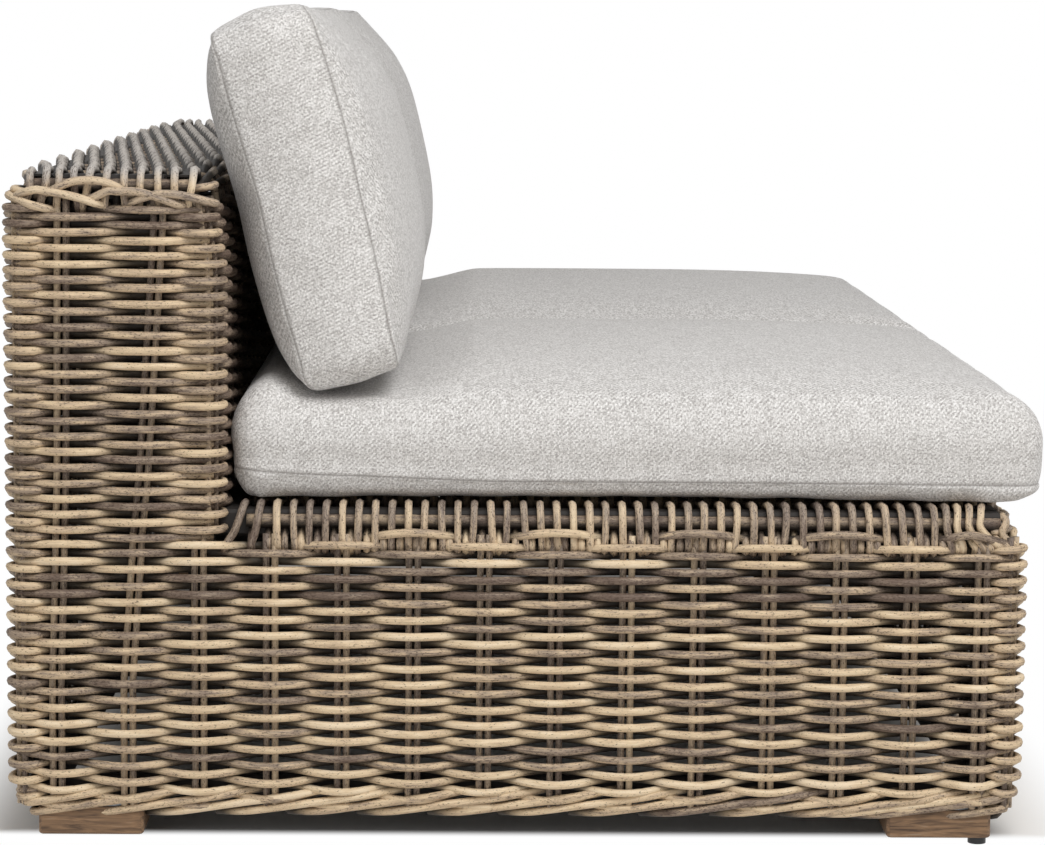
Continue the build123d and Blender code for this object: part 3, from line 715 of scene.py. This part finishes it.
borders = {name: newBundle() for name in ("left", "rear", "right", "front")}
borderPlaces = stations(lowerLoop, lowerSideY(0.05))
for k, s0 in enumerate(borderPlaces):
    t = np.linspace(0, 1, border["samples"])
    place, normal = onLoop(lowerLoop, s0 + border["length"] * t)
    z = np.interp(t, *border["height"]) * mm
    out = np.interp(t, *border["out"]) * mm
    near = np.clip(1 - (border["dipTo"] - np.abs(place[:, 1])) / border["dipOver"], 0, 1)
    z = z - border["dip"] * near * np.abs(normal[:, 0]) * t
    drawn = np.interp(z / mm, *border["drawn"]) * mm * (1 - 0.5 * normal[:, 0] ** 2)
    path = smoothPath(np.column_stack([place + normal * (out - drawn)[:, None], z])[::2], 5 * mm)
    along = np.linspace(0, 1, len(path))
    facing = np.column_stack([np.interp(along, t, normal[:, 0]), np.interp(along, t, normal[:, 1]),
                              np.zeros(len(path))])
    turns = (k, k + len(borderPlaces))  # the left wall runs on past the loop's start
    wall = next(name for name, first, last, _ in lowerSpans if any(first < turn <= last for turn in turns))
    addStrand(borders[wall], path, facing, weave["strand"] * rng.uniform(0.94, 1.06),
              rng.beta(*weave["grown"]), 0.0, 8, np.interp(along, t, weave["swing"] - out))

makeWicker("weaveLeft", walls["left"], "weave_left")
makeWicker("weaveRear", walls["rear"], "weave_rear")
makeWicker("weaveRight", walls["right"], "weave_right")
makeWicker("weaveFront", walls["front"], "weave_front")
makeWicker("backWeaveLeft", walls["backLeft"], "back_weave_left")
makeWicker("backWeaveRight", walls["backRight"], "back_weave_right")
makeWicker("backWeaveFront", walls["backFront"], "back_weave_front")
makeWicker("seatDeck", deckSection["bundle"], "deck_strands", "deck_rods")
makeWicker("backTop", topSection["bundle"], "top_strands", "top_rods")
for name in borders:
    makeWicker("border" + name.capitalize(), borders[name], "border_" + name)
print("Wicker made")


# Outdoor woven fabric, solution-dyed acrylic: it gives the eye a flecked twill of light and darker yarns,
# matt, with a soft edge of light; its threads are drawn 1.2 mm apart, twice the real spacing, to show

fabric = {
    # the last colour is painted shade along the seams
    "darkYarn": "#9b9794", "yarn": "#c8c5c2", "paleYarn": "#e9e7e5", "seamShade": "#7f7b77",
    "thread": 1.2 * mm,
    "fleck": 6 * mm,             # how long a yarn keeps one shade
    # what makes its tone: the step from weft to warp, a yarn's own shade, and its fuzz
    "toneFrom": -0.54, "toneShares": (0.16, 0.42, 1.5),
    "seamShadeShare": 0.75,
    "bump": 0.3 * mm,
}


def makeFabric():
    material, tree, shader = newMaterial("wovenOutdoorAcrylic", Roughness=0.92, Specular_IOR_Level=0.2)
    shader.inputs["Sheen Weight"].default_value = 0.2
    shader.inputs["Sheen Roughness"].default_value = 0.5
    coord = addNode(tree, "Attribute", {"attribute_name": "clothCoord"}).outputs["Vector"]
    seam = addNode(tree, "Attribute", {"attribute_name": "seamLine"}).outputs["Fac"]
    axes = addNode(tree, "SeparateXYZ", inputs={"Vector": coord}).outputs
    # threads in both directions: where each lies, its number, and how far along it a place is
    at, number, run, rounded = [], [], [], []
    for axis, other in (("X", "Y"), ("Y", "X")):
        at.append(addNode(tree, "Math", {"operation": "DIVIDE"}, {
            0: axes[axis], 1: fabric["thread"]}).outputs[0])
        number.append(addNode(tree, "Math", {"operation": "FLOOR"}, {0: at[-1]}).outputs[0])
        along = addNode(tree, "Math", {"operation": "DIVIDE"}, {
            0: axes[other], 1: fabric["fleck"]}).outputs[0]
        run.append(addNode(tree, "Math", {"operation": "FLOOR"}, {0: along}).outputs[0])
        rounded.append(addNode(tree, "Math", {"operation": "PINGPONG"}, {0: at[-1], 1: 0.5}).outputs[0])
    # two over, two under, one thread further in each row
    both = addNode(tree, "Math", {"operation": "ADD"}, {0: number[0], 1: number[1]}).outputs[0]
    turn = addNode(tree, "Math", {"operation": "FLOORED_MODULO"}, {0: both, 1: 4.0}).outputs[0]
    warpOnTop = addNode(tree, "Math", {"operation": "LESS_THAN"}, {0: turn, 1: 1.5}).outputs[0]
    shades = []
    for keys, salt in (((number[0], run[0]), 3.0), ((run[1], number[1]), 8.0)):
        key = addNode(tree, "CombineXYZ", inputs={"X": keys[0], "Y": keys[1], "Z": salt}).outputs[0]
        shades.append(addNode(tree, "TexWhiteNoise", {"noise_dimensions": "3D"}, {
            "Vector": key}).outputs["Value"])
    shade, lifted = (addNode(tree, "Mix", {"data_type": "FLOAT"}, {
        0: warpOnTop, 2: pair[1], 3: pair[0]}).outputs[0] for pair in (shades, rounded))
    fuzz = addNode(tree, "TexNoise", inputs={
        "Vector": coord, "Scale": 1 / fabric["thread"] / 1.4, "Detail": 2.0, "Roughness": 0.6}).outputs["Fac"]
    tone = fabric["toneFrom"]
    for value, share in zip((warpOnTop, shade, fuzz), fabric["toneShares"]):
        tone = addNode(tree, "Math", {"operation": "MULTIPLY_ADD"}, {0: value, 1: share, 2: tone}).outputs[0]
    colour = addNode(tree, "ValToRGB", {"stops": [
        (0.12, fabric["darkYarn"]), (0.5, fabric["yarn"]), (0.88, fabric["paleYarn"])]}, {"Fac": tone})
    # painted shade: a darker line along the middle of each seam's groove
    seamShading = addNode(tree, "Math", {"operation": "MULTIPLY"}, {
        0: seam, 1: fabric["seamShadeShare"]}).outputs[0]
    seamShaded = addNode(tree, "Mix", {"data_type": "RGBA"}, {
        "Factor": seamShading, 6: colour.outputs["Color"], 7: toLinear(fabric["seamShade"])}).outputs[2]
    height = addNode(tree, "Math", {"operation": "MULTIPLY_ADD"}, {0: fuzz, 1: 0.6, 2: lifted}).outputs[0]
    finishSurface(tree, shader, seamShaded, height, 0.4, fabric["bump"])
    return material


fabricMaterial = makeFabric()


# Cushions: boxed covers, two panels and a band between their seams, puffed by a cloth run with the seams held

def spaced(low, high, edge, step):
    # a closer grid near both edges
    near = edge * np.array([0.0, 0.12, 0.3, 0.55, 0.8, 1.0])
    count = max(3, round((high - low - 2 * edge) / step))
    inner = np.linspace(low + edge, high - edge, count + 1)[1:-1]
    return np.concatenate([low + near, inner, high - near[::-1]])


def gridShell(us, vs, ws):
    # the outside of a block of grid cells, as lattice numbers and quads
    counts = len(us), len(vs), len(ws)
    keys, corners, faces = {}, [], []
    for first, second in ((0, 1), (0, 2), (1, 2)):
        across = 3 - first - second
        for p in range(counts[first] - 1):
            for q in range(counts[second] - 1):
                for end in (0, counts[across] - 1):
                    ring = [(p, q), (p + 1, q), (p + 1, q + 1), (p, q + 1)]
                    if (end == 0) != (across == 1):
                        ring = [ring[0], ring[3], ring[2], ring[1]]
                    face = []
                    for i, j in ring:
                        key = [0, 0, 0]
                        key[first], key[second], key[across] = i, j, end
                        if tuple(key) not in keys:
                            keys[tuple(key)] = len(corners)
                            corners.append(key)
                        face.append(keys[tuple(key)])
                    faces.append(face)
    return np.array(corners), faces


def rounded(value, low, high, edgeLow, edgeHigh):
    # how far a point is into the rounding at either end, -1 to 1
    return (np.clip((value - (high - edgeHigh)) / edgeHigh, 0, 1)
            - np.clip((low + edgeLow - value) / edgeLow, 0, 1))


def roundOff(value, low, high, edgeLow, edgeHigh, excess):
    inner = np.clip(value, low + edgeLow, high - edgeHigh)
    return inner + np.where(excess > 0, edgeHigh, edgeLow) * excess


def shareOff(*excesses):
    # the corner of a box made round: excesses kept in direction, their length brought to the largest of them
    stack = np.stack(excesses, -1)
    length = np.linalg.norm(stack, axis=-1)
    largest = np.abs(stack).max(-1)
    scale = np.where(length > 1e-9, largest / np.maximum(length, 1e-9), 1.0)
    return [stack[..., i] * scale for i in range(stack.shape[-1])]


seatCushion = {
    "inner": 0.005, "outer": 0.7225, "front": -0.4900, "rear": 0.2820,
    "bottom": 0.3218, "seam": 0.3388, "top": 0.4140, "lean": 0.0,
    "edgeTop": 46 * mm, "edgeBottom": 7 * mm, "edgeSide": 38 * mm,
    # rows of the grid over the height, in mm up from the bottom, from the seam and from the top
    "low": [0, 3, 8, 13], "mid": [0, 14], "high": [-46, -34, -21, -9, 0],
    "tuck": 9 * mm, "tuckTo": 0.387,   # the sides swell over the seam
    "pull": 3 * mm,                    # and pull in between the corners
    "seamRise": ([0.035, 0.13, 0.208, 0.268], [0.0, 4.0, 6.5, 10.0]),  # it climbs towards the back
    "seamRiseTo": 0.385,
    "soleLift": 7 * mm, "soleLiftAt": (-0.435, -0.045),  # of the part that hangs over the front
    "crown": 22 * mm, "topLift": 3 * mm,
    "pressed": ([0.05, 0.115, 0.195, 0.232], [0.0, 1.0, 1.0, 0.0]),    # where the back cushion stands
    "swell": 11 * mm, "swellAt": ([0.212, 0.245], [0.0, 1.0]),         # behind it
    "fill": 0.8, "cell": 15 * mm, "puff": 5 * mm, "pressure": 3.0,
}


def seatShape(u, v, w):
    c = seatCushion
    x0, x1, y0, y1, z0, z1 = c["inner"], c["outer"], c["front"], c["rear"], c["bottom"], c["top"]
    edge = c["edgeSide"]
    fx, fy, fz = shareOff(rounded(u, x0, x1, edge, edge), rounded(v, y0, y1, edge, edge),
                          rounded(w, z0, z1, c["edgeBottom"], c["edgeTop"]))
    x = roundOff(u, x0, x1, edge, edge, fx)
    y = roundOff(v, y0, y1, edge, edge, fy)
    z = roundOff(w, z0, z1, c["edgeBottom"], c["edgeTop"], fz)
    a, b = 2 * (x - x0) / (x1 - x0) - 1, 2 * (y - y0) / (y1 - y0) - 1
    high = np.clip((z - z0) / (z1 - z0), 0, 1)
    tuck = c["tuck"] * np.clip((c["tuckTo"] - z) / (c["tuckTo"] - c["seam"]), 0, 1) ** 1.6
    x = x - tuck * fx - np.sign(a) * c["pull"] * np.abs(a) ** 6 * (1 - b * b)
    y = y - tuck * fy - np.sign(b) * 0.3 * c["pull"] * np.abs(b) ** 6 * (1 - a * a)
    share = np.interp(w, [z0, c["seam"], c["seamRiseTo"]], [0.15, 1, 0])
    z = z + np.interp(y, *c["seamRise"]) * mm * share
    low = np.clip((c["seam"] - z) / (c["seam"] - z0), 0, 1)
    z = z + c["soleLift"] * low * ramp(y, c["soleLiftAt"])
    crown = (1 - np.abs(a) ** 3.2) * (1 - np.abs(b) ** 3.6)
    pressed = np.interp(y, *c["pressed"])
    lift = c["crown"] * crown * (1 - 0.9 * pressed) + c["topLift"] * (1 - pressed)
    z = z + (lift + c["swell"] * np.interp(y, *c["swellAt"])) * high ** 2
    return np.column_stack([-x, y, z])


backCushion = {
    "inner": 0.005, "outer": 0.7065, "height": 0.3475, "lean": math.radians(17.2), "foot": (0.1925, 0.4190),
    # the two seams, mm in front of the foot, at shares of the height
    "rearSeam": ([0, 0.05, 0.21, 0.37, 0.55, 0.8, 1], [-2, -7.5, -7.5, -5.6, 0, 0, 5]),
    "frontSeam": ([0, 0.15, 0.3, 0.48, 0.67, 0.82, 0.94, 1], [77.5, 81.8, 87.9, 91.8, 97, 97.4, 96, 90]),
    "frontCrown": 38 * mm, "frontDome": (2.8, 0.6, 2.4, 0.75),
    "rearCrown": 25 * mm, "rearDome": (5, 0.6, 4, 0.5), "corner": 30 * mm, "pull": 4 * mm,
    "bandSwell": 7 * mm, "fill": 0.75, "cell": 15 * mm, "puff": 5 * mm, "pressure": 3.0,
}


def domed(a, b, acrossPower, acrossRound, upPower, upRound):
    # 1 in a panel's middle and 0 at its edges
    return (np.clip(1 - np.abs(a) ** acrossPower, 0, 1) ** acrossRound
            * np.clip(1 - np.abs(b) ** upPower, 0, 1) ** upRound)


def backShape(u, v, w):
    c = backCushion
    x0, x1, h, corner = c["inner"], c["outer"], c["height"], c["corner"]
    ex, ev = rounded(u, x0, x1, corner, corner), rounded(v, 0, h, corner, corner)
    fx, fv = shareOff(ex, ev)
    x, up = roundOff(u, x0, x1, corner, corner, fx), roundOff(v, 0, h, corner, corner, fv)
    a, b = 2 * (x - x0) / (x1 - x0) - 1, 2 * up / h - 1
    rear, front = (np.interp(up / h, *c[key]) * mm for key in ("rearSeam", "frontSeam"))
    onRear, onFront = w <= 0, w >= 1
    onBand = ~(onRear | onFront)
    depth = rear + w * (front - rear)
    depth = depth + np.where(onFront, c["frontCrown"], 0) * domed(a, b, *c["frontDome"])
    depth = depth - np.where(onRear, c["rearCrown"], 0) * domed(a, b, *c["rearDome"])
    edge = np.clip(np.maximum(np.abs(ex), np.abs(ev)), 0, 1)
    bulge = np.where(onBand, c["bandSwell"] * np.sin(math.pi * w), 0) * edge
    x = x + bulge * fx - np.sign(a) * c["pull"] * np.abs(a) ** 8 * (1 - b * b)
    up = up + bulge * fv * np.where(b > 0, 1.0, 0.15)
    up = up - np.sign(b) * c["pull"] * np.abs(b) ** 8 * (1 - a * a) * np.where(b > 0, 1.0, 0.2)
    lean = c["lean"]
    y = c["foot"][0] - depth * math.cos(lean) + up * math.sin(lean)
    z = c["foot"][1] + depth * math.sin(lean) + up * math.cos(lean)
    return np.column_stack([-x, y, z])


def cushionMesh(name, us, vs, ws, shape, seamAt):
    corners, faces = gridShell(us, vs, ws)
    points = shape(us[corners[:, 0]], vs[corners[:, 1]], ws[corners[:, 2]])
    side = ((corners[:, 0] == 0) | (corners[:, 0] == len(us) - 1) | (corners[:, 1] == 0)
            | (corners[:, 1] == len(vs) - 1))
    seam = side & np.isin(corners[:, 2], seamAt)
    mesh = bpy.data.meshes.new(name)
    mesh.from_pydata(points, [], [face[::-1] for face in faces])
    mesh.attributes.new("seam", "BOOLEAN", "POINT").data.foreach_set("value", seam)
    return mesh, seam


cloth = {"frames": 20, "quality": 6, "stiffness": 24, "bending": 0.6, "shrink": -0.012}


def runCloth(piece, seam, pressure, cap):
    # the seams hold, the panels between them swell and crease
    start = np.array([v.co for v in piece.data.vertices])
    group = piece.vertex_groups.new(name="held")
    group.add([int(i) for i in np.flatnonzero(seam)], 1.0, "REPLACE")
    modifier = piece.modifiers.new("Cloth", "CLOTH")
    settings = modifier.settings
    settings.vertex_group_mass = "held"
    settings.use_pressure = True
    settings.uniform_pressure_force = pressure
    settings.effector_weights.gravity = 0.0
    settings.quality = cloth["quality"]
    settings.tension_stiffness = settings.compression_stiffness = cloth["stiffness"]
    settings.bending_stiffness = cloth["bending"]
    settings.shrink_min = cloth["shrink"]
    modifier.collision_settings.use_collision = False
    modifier.point_cache.frame_start, modifier.point_cache.frame_end = 1, cloth["frames"]
    scene = bpy.context.scene
    for number in range(1, cloth["frames"] + 1):
        scene.frame_set(number)
    depsgraph = bpy.context.evaluated_depsgraph_get()
    puffed = np.array([v.co for v in piece.evaluated_get(depsgraph).data.vertices])
    piece.modifiers.remove(modifier)
    piece.vertex_groups.clear()
    scene.frame_set(1)
    move = puffed - start
    length = np.linalg.norm(move, axis=1)
    move *= (np.minimum(length, cap) / np.maximum(length, 1e-9))[:, None]
    return start + move


def sewSeams(mesh, width, depth):
    # a seam is a narrow groove between two turned edges
    bm = bmesh.new()
    bm.from_mesh(mesh)
    layer = bm.verts.layers.bool.get("seam")
    line = bm.verts.layers.float.new("seamLine")
    edges = [e for e in bm.edges if e.verts[0][layer] and e.verts[1][layer]]
    made = bmesh.ops.bevel(bm, geom=edges, offset=width, offset_type="OFFSET", segments=2, profile=0.5,
                           affect="EDGES", clamp_overlap=True)
    bm.normal_update()
    fresh = set(made["verts"])
    for vertex in fresh:
        others = [e.other_vert(vertex) for e in vertex.link_edges]
        if all(o in fresh for o in others):  # the middle loop
            vertex.co -= vertex.normal * depth
            # this loop carries the painted shade along the seam
            vertex[line] = 1.0
    bm.to_mesh(mesh)
    bm.free()


def layCloth(mesh, lean):
    # the threads run along the panel that a face belongs to
    upright = np.array(Matrix.Rotation(-lean, 3, "X")).T
    where = np.array([v.co for v in mesh.vertices]) @ upright
    normal = np.array([face.normal for face in mesh.polygons]) @ upright
    counts = np.array([face.loop_total for face in mesh.polygons])
    vertex = np.empty(len(mesh.loops), int)
    mesh.loops.foreach_get("vertex_index", vertex)
    main = np.repeat(np.abs(normal * (1.0, 1.0, 1.05)).argmax(1), counts)
    place = where[vertex]
    across = np.where(main == 0, place[:, 1], place[:, 0])
    along = np.where(main == 2, place[:, 1], place[:, 2])
    coord = np.column_stack([across, along, main]).astype(np.float32)
    mesh.attributes.new("clothCoord", "FLOAT_VECTOR", "CORNER").data.foreach_set("vector", coord.ravel())


seam = {"width": 1.7 * mm, "depth": 1.6 * mm}


def finishCushion(name, mesh, held, c, mirrored, bodySlot):
    piece = bpy.data.objects.new(name, mesh)
    bpy.context.scene.collection.objects.link(piece)
    points = np.array([v.co for v in mesh.vertices])
    points = runCloth(piece, held, c["pressure"], c["puff"])
    # flat where the two cushions meet, and on the deck
    points[:, 0] = np.minimum(points[:, 0], -1.5 * mm)
    points[:, 2] = np.maximum(points[:, 2], sofa["deckHeight"] + 0.4 * mm)
    mesh.vertices.foreach_set("co", points.ravel())
    mesh.update()
    sewSeams(mesh, seam["width"], seam["depth"])
    if mirrored:
        mesh.transform(Matrix.Diagonal((-1, 1, 1, 1)))
        mesh.flip_normals()
    soft = piece.modifiers.new("Soft", "SUBSURF")
    soft.levels = soft.render_levels = 1
    depsgraph = bpy.context.evaluated_depsgraph_get()
    smooth = bpy.data.meshes.new_from_object(piece.evaluated_get(depsgraph))
    piece.modifiers.remove(soft)
    piece.data = smooth
    smooth.name = name
    smooth.polygons.foreach_set("use_smooth", [True] * len(smooth.polygons))
    layCloth(smooth, c["lean"])
    smooth.materials.clear()
    smooth.materials.append(fabricMaterial)
    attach(piece, bodySlot)
    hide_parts(bodySlot)
    print(name, len(smooth.polygons), "faces")
    return piece


for side, mirrored in (("left", False), ("right", True)):
    c = seatCushion
    us = spaced(c["inner"], c["outer"], c["edgeSide"], c["cell"])
    vs = spaced(c["front"], c["rear"], c["edgeSide"], c["cell"])
    levels = (("bottom", "low"), ("seam", "mid"), ("top", "high"))
    ws = np.array([c[level] + rise * mm for level, rises in levels for rise in c[rises]])
    name = "seatCushion" + side.capitalize()
    mesh, held = cushionMesh(name, us, vs, ws, seatShape, [len(c["low"])])
    finishCushion(name, mesh, held, c, mirrored, "seat_cushion_" + side)
    c = backCushion
    us = spaced(c["inner"], c["outer"], c["corner"], c["cell"])
    vs = spaced(0, c["height"], c["corner"], c["cell"])
    ws = np.linspace(0, 1, 8)
    name = "backCushion" + side.capitalize()
    mesh, held = cushionMesh(name, us, vs, ws, backShape, [0, len(ws) - 1])
    finishCushion(name, mesh, held, c, mirrored, "back_cushion_" + side)
print("Cushions made")


# Finishes of the parts that show as the frame has them

# oiled teak, sawn and left out to weather: it gives the eye long brown grain with paler, greyer streaks
teak = {
    "grain": [(0.30, "#43342a"), (0.45, "#6d5642"), (0.58, "#8a6d52"), (0.75, "#8f7f6d")],
    "grainWidth": 4 * mm, "pore": 1.0 * mm, "bump": 0.5 * mm,
}


def makeTeak():
    material, tree, shader = newMaterial("weatheredTeak", Roughness=0.6, Specular_IOR_Level=0.3)
    place = addNode(tree, "TexCoord").outputs["Object"]
    along = addNode(tree, "Mapping", inputs={"Vector": place, "Scale": (1.0, 0.09, 1.0)}).outputs["Vector"]
    grain = addNode(tree, "TexNoise", inputs={
        "Vector": along, "Scale": 1 / teak["grainWidth"], "Detail": 5.0, "Roughness": 0.6,
        "Distortion": 0.6}).outputs["Fac"]
    pores = addNode(tree, "TexNoise", inputs={
        "Vector": along, "Scale": 1 / teak["pore"], "Detail": 2.0}).outputs["Fac"]
    colour = addNode(tree, "ValToRGB", {"stops": teak["grain"]}, {"Fac": grain}).outputs["Color"]
    height = addNode(tree, "Math", {"operation": "MULTIPLY_ADD"}, {0: pores, 1: 0.5, 2: grain}).outputs[0]
    finishSurface(tree, shader, colour, height, 0.5, teak["bump"])
    return material


def makeSpeckled(name, base, other, metallic, roughness, grain, depth):
    # two close colours and a fine grain, sizes in mm
    material, tree, shader = newMaterial(name, Metallic=metallic)
    place = addNode(tree, "TexCoord").outputs["Object"]
    fine = addNode(tree, "TexNoise", inputs={
        "Vector": place, "Scale": 1 / (grain * mm), "Detail": 3.0, "Roughness": 0.6}).outputs["Fac"]
    broad = addNode(tree, "TexNoise", inputs={
        "Vector": place, "Scale": 1 / (30 * grain * mm), "Detail": 3.0}).outputs["Fac"]
    both = addNode(tree, "Math", {"operation": "MULTIPLY_ADD"}, {0: fine, 1: 0.5, 2: broad}).outputs[0]
    colour = addNode(tree, "ValToRGB", {"stops": [(0.6, base), (0.95, other)]}, {
        "Fac": both}).outputs["Color"]
    rough = addNode(tree, "MapRange", inputs={
        "Value": broad, "From Min": 0.3, "From Max": 0.7,
        "To Min": roughness - 0.06, "To Max": roughness + 0.08})
    tree.links.new(rough.outputs["Result"], shader.inputs["Roughness"])
    finishSurface(tree, shader, colour, fine, 0.3, depth * mm)
    return material


finishes = {
    "weathered_teak": makeTeak(),
    # powder-coated aluminium: a dark brown, slightly grainy satin skin
    "frame_tube": makeSpeckled("powderCoatedAluminium", "#1d1815", "#26201c", 0.0, 0.72, 0.8, 0.1),
    # moulded nylon: black and dull, faintly mottled paler
    "levelling_foot_plastic": makeSpeckled("mouldedNylon", "#1b1b1c", "#2b2b2c", 0.0, 0.45, 0.5, 0.05),
    # zinc-plated steel: cool grey metal with a cloudy passivated skin
    "plated_steel": makeSpeckled("zincPlatedSteel", "#a9adb1", "#c3c6c8", 1.0, 0.36, 0.6, 0.03),
    # turned brass: warm yellow metal, lightly tarnished
    "insert_brass": makeSpeckled("turnedBrass", "#a98a45", "#c4a55c", 1.0, 0.3, 0.5, 0.03),
}
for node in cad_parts.values():
    for holder in node.material_slots:
        name = holder.material.name.split(".")[0] if holder.material else ""
        if name in finishes:
            holder.material = finishes[name]
print("Finishes set")


# Floor, light and camera

studio = {
    "world": 0.38,
    "key": 114.0, "keyPlace": (-2.6, -1.1, 3.45), "keySize": 2.4,
    "fill": 20.0, "fillPlace": (-3.6, 2.2, 1.8), "fillSize": 2.5,
    "aim": (0, 0, 0.3),
    "floor": "#efedea", "floorHalf": 14,
    # the shaded floor's half size and middle, and how far it fades to white beyond that
    "shaded": (("X", 0.805, 0.08), ("Y", 0.465, 0.007)), "clear": 0.0, "fade": 0.11,
    "lit": (-0.674, -0.702),     # the lit side's floor is clear from just inside the sofa's edge
}


def seenByEye(tree):
    # 1 for what the camera sees, also in a reflection or through glass
    ray = addNode(tree, "LightPath").outputs
    seen = ray["Is Camera Ray"]
    for other in ("Is Glossy Ray", "Is Transmission Ray"):
        seen = addNode(tree, "Math", {"operation": "MAXIMUM"}, {0: seen, 1: ray[other]}).outputs[0]
    return seen


def makeStage():
    mesh = bpy.data.meshes.new("studioFloor")
    half = studio["floorHalf"]
    corners = [(-half, -half, 0), (half, -half, 0), (half, half, 0), (-half, half, 0)]
    mesh.from_pydata(corners, [], [(0, 1, 2, 3)])
    floor = bpy.data.objects.new("studioFloor", mesh)
    bpy.context.scene.collection.objects.link(floor)
    material, tree, shader = newMaterial("paleStudioFloor", Roughness=0.9, Specular_IOR_Level=0.0)
    shader.inputs["Base Color"].default_value = toLinear(studio["floor"])
    place = addNode(tree, "NewGeometry").outputs["Position"]
    axes = addNode(tree, "SeparateXYZ", inputs={"Vector": place}).outputs
    gaps = []
    for axis, reach, shift in studio["shaded"]:
        moved = addNode(tree, "Math", {"operation": "SUBTRACT"}, {0: axes[axis], 1: shift}).outputs[0]
        size = addNode(tree, "Math", {"operation": "ABSOLUTE"}, {0: moved}).outputs[0]
        gap = addNode(tree, "Math", {"operation": "SUBTRACT"}, {0: size, 1: reach}).outputs[0]
        gaps.append(addNode(tree, "Math", {"operation": "MAXIMUM"}, {0: gap, 1: 0.0}).outputs[0])
    pair = addNode(tree, "CombineXYZ", inputs={"X": gaps[0], "Y": gaps[1]}).outputs["Vector"]
    away = addNode(tree, "VectorMath", {"operation": "LENGTH"}, {0: pair}).outputs["Value"]
    fade = addNode(tree, "MapRange", {"interpolation_type": "SMOOTHSTEP"}, {
        "Value": away, "From Min": studio["clear"], "From Max": studio["fade"]}).outputs["Result"]
    lit = addNode(tree, "MapRange", {"interpolation_type": "SMOOTHSTEP"}, {
        "Value": axes["X"], "From Min": studio["lit"][0], "From Max": studio["lit"][1]}).outputs["Result"]
    fade = addNode(tree, "Math", {"operation": "MAXIMUM"}, {0: fade, 1: lit}).outputs[0]
    factor = addNode(tree, "Math", {"operation": "MULTIPLY"}, {0: fade, 1: seenByEye(tree)}).outputs[0]
    white = addNode(tree, "Emission", inputs={"Color": (1, 1, 1, 1), "Strength": 1.0}).outputs[0]
    mixed = addNode(tree, "MixShader", inputs={0: factor, 1: shader.outputs[0], 2: white})
    tree.links.new(mixed.outputs[0], tree.nodes["Material Output"].inputs["Surface"])
    mesh.materials.append(material)
    floor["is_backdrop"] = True


def makeWorld():
    world = bpy.data.worlds.new("softRoom")
    bpy.context.scene.world = world
    world.use_nodes = True
    tree = world.node_tree
    light = tree.nodes["Background"]
    light.inputs["Color"].default_value = (1.0, 1.0, 1.0, 1.0)
    light.inputs["Strength"].default_value = studio["world"]
    white = addNode(tree, "Background", inputs={"Color": (1, 1, 1, 1), "Strength": 1.0}).outputs[0]
    mixed = addNode(tree, "MixShader", inputs={0: seenByEye(tree), 1: light.outputs[0], 2: white})
    tree.links.new(mixed.outputs[0], tree.nodes["World Output"].inputs["Surface"])


def makeLamp(name, place, size, power):
    lamp = bpy.data.lights.new(name, "AREA")
    lamp.shape, lamp.size, lamp.energy = "DISK", size, power
    holder = bpy.data.objects.new(name, lamp)
    holder.location = place
    holder.rotation_euler = (Vector(studio["aim"]) - Vector(place)).to_track_quat("-Z", "Y").to_euler()
    bpy.context.scene.collection.objects.link(holder)


makeStage()
makeWorld()
makeLamp("softKey", studio["keyPlace"], studio["keySize"], studio["key"])
makeLamp("softFill", studio["fillPlace"], studio["fillSize"], studio["fill"])

# the photograph's own view, angles in radians
view = {"place": (-3.6137, 0.0556, 0.7592), "yaw": 0.0178, "pitch": 0.1248, "tip": 0.009, "lens": 109.17}


def makeCamera():
    yaw, pitch, tip = view["yaw"], view["pitch"], view["tip"]
    ahead = Vector((math.cos(pitch) * math.cos(yaw), -math.cos(pitch) * math.sin(yaw), -math.sin(pitch)))
    right = Vector((-math.sin(yaw), -math.cos(yaw), 0.0))
    up = right.cross(ahead)
    right, up = math.cos(tip) * right + math.sin(tip) * up, math.cos(tip) * up - math.sin(tip) * right
    camera = bpy.data.cameras.new("photoCamera")
    camera.lens, camera.sensor_width, camera.sensor_fit = view["lens"], 36.0, "HORIZONTAL"
    holder = bpy.data.objects.new("photoCamera", camera)
    turn = Matrix((right, up, -ahead)).transposed().to_4x4()
    holder.matrix_world = Matrix.Translation(view["place"]) @ turn
    bpy.context.scene.collection.objects.link(holder)
    bpy.context.scene.camera = holder


makeCamera()
bpy.context.scene.view_settings.view_transform = "Standard"
print("Stage, light and camera set")

bpy.context.view_layer.update()
low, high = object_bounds()
